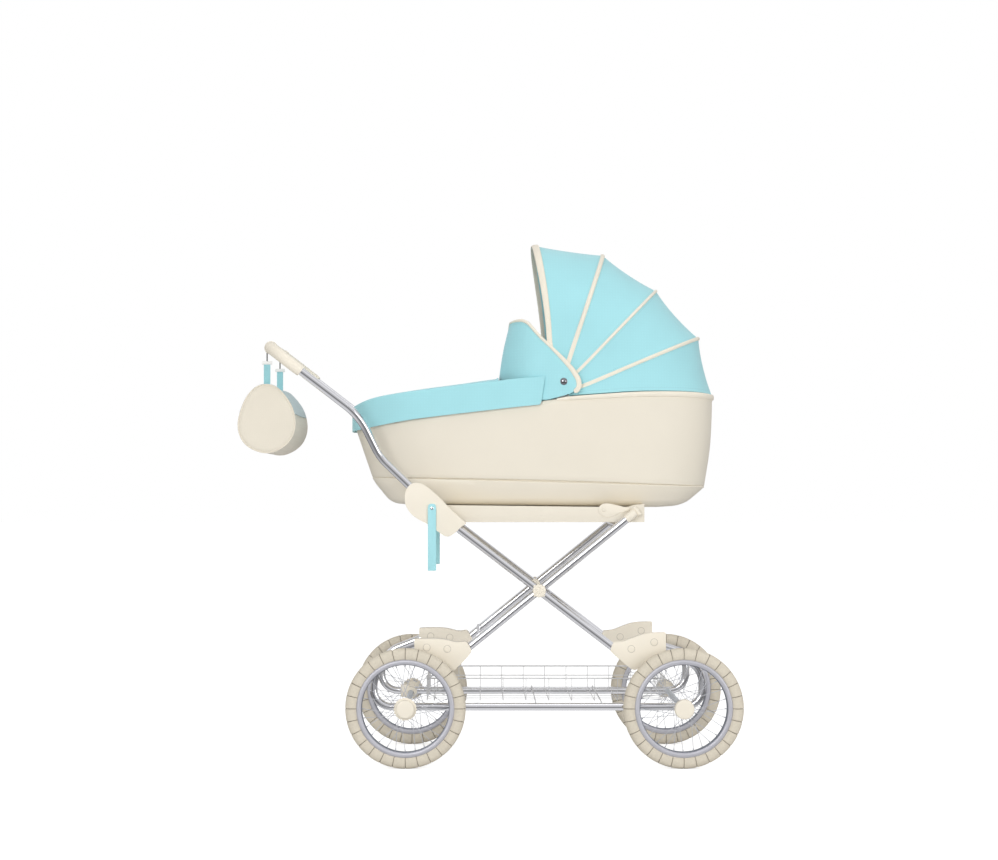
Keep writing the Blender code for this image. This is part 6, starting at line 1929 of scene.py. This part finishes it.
class CARRIAGE_OT_hood(bpy.types.Operator):
    """Hood cloth drawn over four corded bows"""

    bl_idname = "carriage.hood"
    bl_label = "Hood"

    def execute(self, context):
        for index, (body, node, angle, radius, half) in enumerate(BOWS):
            if node == "front_bow":
                self.front_band(angle, radius, half, BOW_DRIFTS[index])
            else:
                self.corded_bow(body, node, (angle, radius, half), BOW_DRIFTS[index], CORD_HALF_WIDTHS[index])
        carriers = ["carrycot"] + [bow[0] for bow in BOWS]
        for index in range(4):
            self.panel(index, carriers[index], carriers[index + 1])
        return {"FINISHED"}

    def bow_line(self, radius, half, foot=0.0):
        line = [(half, foot), (half, 0.03), (half, 0.06), (half, 0.085)]
        line += arch(radius, half)
        return line + [(-half, 0.085), (-half, 0.06), (-half, 0.03), (-half, foot)]

    def ways(self, angle):
        """The ways outwards in a bow's plane and across it."""
        turn = math.radians(angle)
        return at(math.cos(turn), 0, math.sin(turn)), at(-math.sin(turn), 0, math.cos(turn))

    def frames(self, angle, line, drift):
        reach_way, along = self.ways(angle)
        made = []
        for index, (y, reach) in enumerate(line):
            y0, r0 = line[max(index - 1, 0)]
            y1, r1 = line[min(index + 1, len(line) - 1)]
            onward = (at(0, y1 - y0, 0) + reach_way * (r1 - r0)).normalized()
            out = along.cross(onward).normalized()
            origin = HOOD_CENTRE + reach_way * reach + at(0, y, 0) + along * between(drift, reach)
            if out.dot(origin - HOOD_CENTRE - reach_way * 0.15) < 0:
                out = -out
            made.append((origin, along, out))
        return made

    def corded_bow(self, body, node, bow, drift, width):
        """Cream cord over the cloth, on the bow's flat strip."""
        angle, radius, half = bow
        frames = self.frames(angle, self.bow_line(radius - 0.0015, half, -0.006), drift)
        section = [
            (-0.0043, -0.0030), (0.0043, -0.0030), (width * 0.98, -0.0008), (width, 0.0006),
            (width * 0.80, 0.0024), (width * 0.45, 0.0036), (0.0, 0.0041), (-width * 0.45, 0.0036),
            (-width * 0.80, 0.0024), (-width, 0.0006), (-width * 0.98, -0.0008),
        ]
        rings = []
        count = len(frames)
        for index, (origin, along, out) in enumerate(frames):
            near = min(index, count - 1 - index)
            lift = clamp((near - 3) / 4)
            ring = []
            for a, u in section:
                u = u if u < 0 else u * (0.15 + 0.85 * lift)
                ring.append(origin + along * a + out * u)
            rings.append(ring)
        bow = ring_body(f"{body}_cord", rings)
        finish(bow, body, "piping", [node], 50)

    def front_band(self, angle, radius, half, drift):
        """Broad padded band round the hood's mouth, widest at the top."""
        frames = self.frames(angle, self.bow_line(radius - 0.0035, half, -0.006), drift)
        rings = []
        count = len(frames)
        for index, (origin, along, out) in enumerate(frames):
            near = min(index, count - 1 - index)
            lift = clamp((near - 3) / 5)
            high = clamp(((origin - HOOD_CENTRE).length - 0.10) / 0.25)
            width = 0.0036 + 0.0056 * high
            shift = -0.0042 + 0.0028 * high
            ring = []
            for a, u in oval(1.0, 1.0, 16):
                across = a * width + shift
                up = (u * 0.0036 if u > 0 else u * 0.0030) * (0.25 + 0.75 * lift) - 0.0005
                if u < 0:
                    up = u * 0.0026
                ring.append(origin + along * across + out * up)
            rings.append(ring)
        band = ring_body("front_bow_band", rings)
        finish(band, "front_bow", "piping", ["front_bow"], 50)

    def panel(self, index, body_a, body_b):
        """Cloth between two bows, or between the rim and the lowest bow, drawn in half-way."""
        angle = BOWS[index][2]
        centre = HOOD_CENTRE
        high = self.edge(index)
        if index == 0:
            low = []
            for y, reach in self.edge_line(0.378, 0.2085):
                x = HOOD_PIVOT.x + reach
                low.append(at(x, y, between(RIM_LINE, x) + 0.0074))
            low_angle = -2.5
        else:
            low = self.edge(index - 1)
            low_angle = BOWS[index - 1][2]
        rows = []
        columns = 16
        for column in range(columns + 1):
            share = column / columns
            row = []
            for place, (start, end) in enumerate(zip(low, high)):
                point = start.lerp(end, share)
                ray = at(point.x - centre.x, 0, point.z - centre.z)
                weight = clamp((ray.length - 0.06) / 0.16)
                sag = PANEL_SAG[index] * weight * (1 - abs(2 * share - 1) ** 2.2)
                wall = 0.0035 * (1 - weight * 0.4) * (1 - abs(2 * share - 1) ** 2)
                inwards = at(0, -point.y, 0).normalized() * wall * min(abs(point.y) / 0.15, 1.0)
                row.append(point - ray.normalized() * sag + inwards)
            rows.append(row)
        name = f"hood_cloth_{4 - index}"
        panel = cloth_grid(name, rows)
        face_outwards(panel, lambda place: place - centre)
        thicken(panel, sizes().cloth)
        mark_hem(panel, rows, rows[len(rows) // 2], lambda index, point: (
            (point - rows[0][index]).length, (point - rows[-1][index]).length
        ))
        finish(panel, None, "stitched", [f"hood_panel_{4 - index}"], 50)
        low_turn = math.radians(low_angle)
        high_turn = math.radians(angle)
        start = centre + at(0.3 * math.cos(low_turn), 0, 0.3 * math.sin(low_turn))
        end = centre + at(0.3 * math.cos(high_turn), 0, 0.3 * math.sin(high_turn))
        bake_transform(panel)

    def edge_line(self, radius, half):
        leg = (0.012, 0.022, 0.035, 0.050, 0.065, 0.082)
        near = [(half, reach) for reach in leg]
        return near + arch(radius, half) + [(-y, reach) for y, reach in reversed(near)]

    def edge(self, index):
        """The cloth's line on a bow."""
        _, node, angle, radius, half = BOWS[index]
        reach_way, along = self.ways(angle)
        radius -= 0.0035 if node == "front_bow" else 0.0015
        line = []
        for y, reach in self.edge_line(radius, half):
            place = HOOD_CENTRE + reach_way * (reach + 0.0002) + at(0, y * 1.001, 0)
            line.append(place + along * between(BOW_DRIFTS[index], reach))
        return line


PIECE_OPERATORS = (
    CARRIAGE_OT_stage, CARRIAGE_OT_tyres, CARRIAGE_OT_rims, CARRIAGE_OT_hubs, CARRIAGE_OT_axles,
    CARRIAGE_OT_springs, CARRIAGE_OT_brackets, CARRIAGE_OT_cross_tubes, CARRIAGE_OT_housings,
    CARRIAGE_OT_handle,
    CARRIAGE_OT_bag, CARRIAGE_OT_basket, CARRIAGE_OT_carrycot, CARRIAGE_OT_platform, CARRIAGE_OT_mattress,
    CARRIAGE_OT_apron, CARRIAGE_OT_flap, CARRIAGE_OT_hood,
)


class CARRIAGE_PT_panel(bpy.types.Panel):
    """Lists the carriage's pieces"""

    bl_idname = "CARRIAGE_PT_panel"
    bl_label = "Baby Carriage"
    bl_space_type = "VIEW_3D"
    bl_region_type = "UI"
    bl_category = "Carriage"

    def draw(self, context):
        layout = self.layout
        for group in (context.scene.carriage_sizes, context.scene.carriage_colours):
            box = layout.box()
            for name in group.__annotations__:
                box.prop(group, name)
        for operator in PIECE_OPERATORS:
            layout.operator(operator.bl_idname)


CLASSES = (CarriageSizes, CarriageColours) + PIECE_OPERATORS + (CARRIAGE_PT_panel,)


def register():
    for cls in CLASSES:
        bpy.utils.register_class(cls)
    bpy.types.Scene.carriage_sizes = PointerProperty(type=CarriageSizes)
    bpy.types.Scene.carriage_colours = PointerProperty(type=CarriageColours)


def unregister():
    del bpy.types.Scene.carriage_colours
    del bpy.types.Scene.carriage_sizes
    for cls in reversed(CLASSES):
        bpy.utils.unregister_class(cls)


def main():
    register()
    make_looks()
    bpy.ops.carriage.stage()
    bpy.ops.carriage.tyres()
    bpy.ops.carriage.rims()
    bpy.ops.carriage.hubs()
    bpy.ops.carriage.axles()
    bpy.ops.carriage.springs()
    bpy.ops.carriage.brackets()
    bpy.ops.carriage.cross_tubes()
    bpy.ops.carriage.housings()
    bpy.ops.carriage.handle()
    bpy.ops.carriage.bag()
    bpy.ops.carriage.basket()
    bpy.ops.carriage.carrycot()
    bpy.ops.carriage.platform()
    bpy.ops.carriage.mattress()
    bpy.ops.carriage.apron()
    bpy.ops.carriage.flap()
    bpy.ops.carriage.hood()


if __name__ == "__main__":
    main()
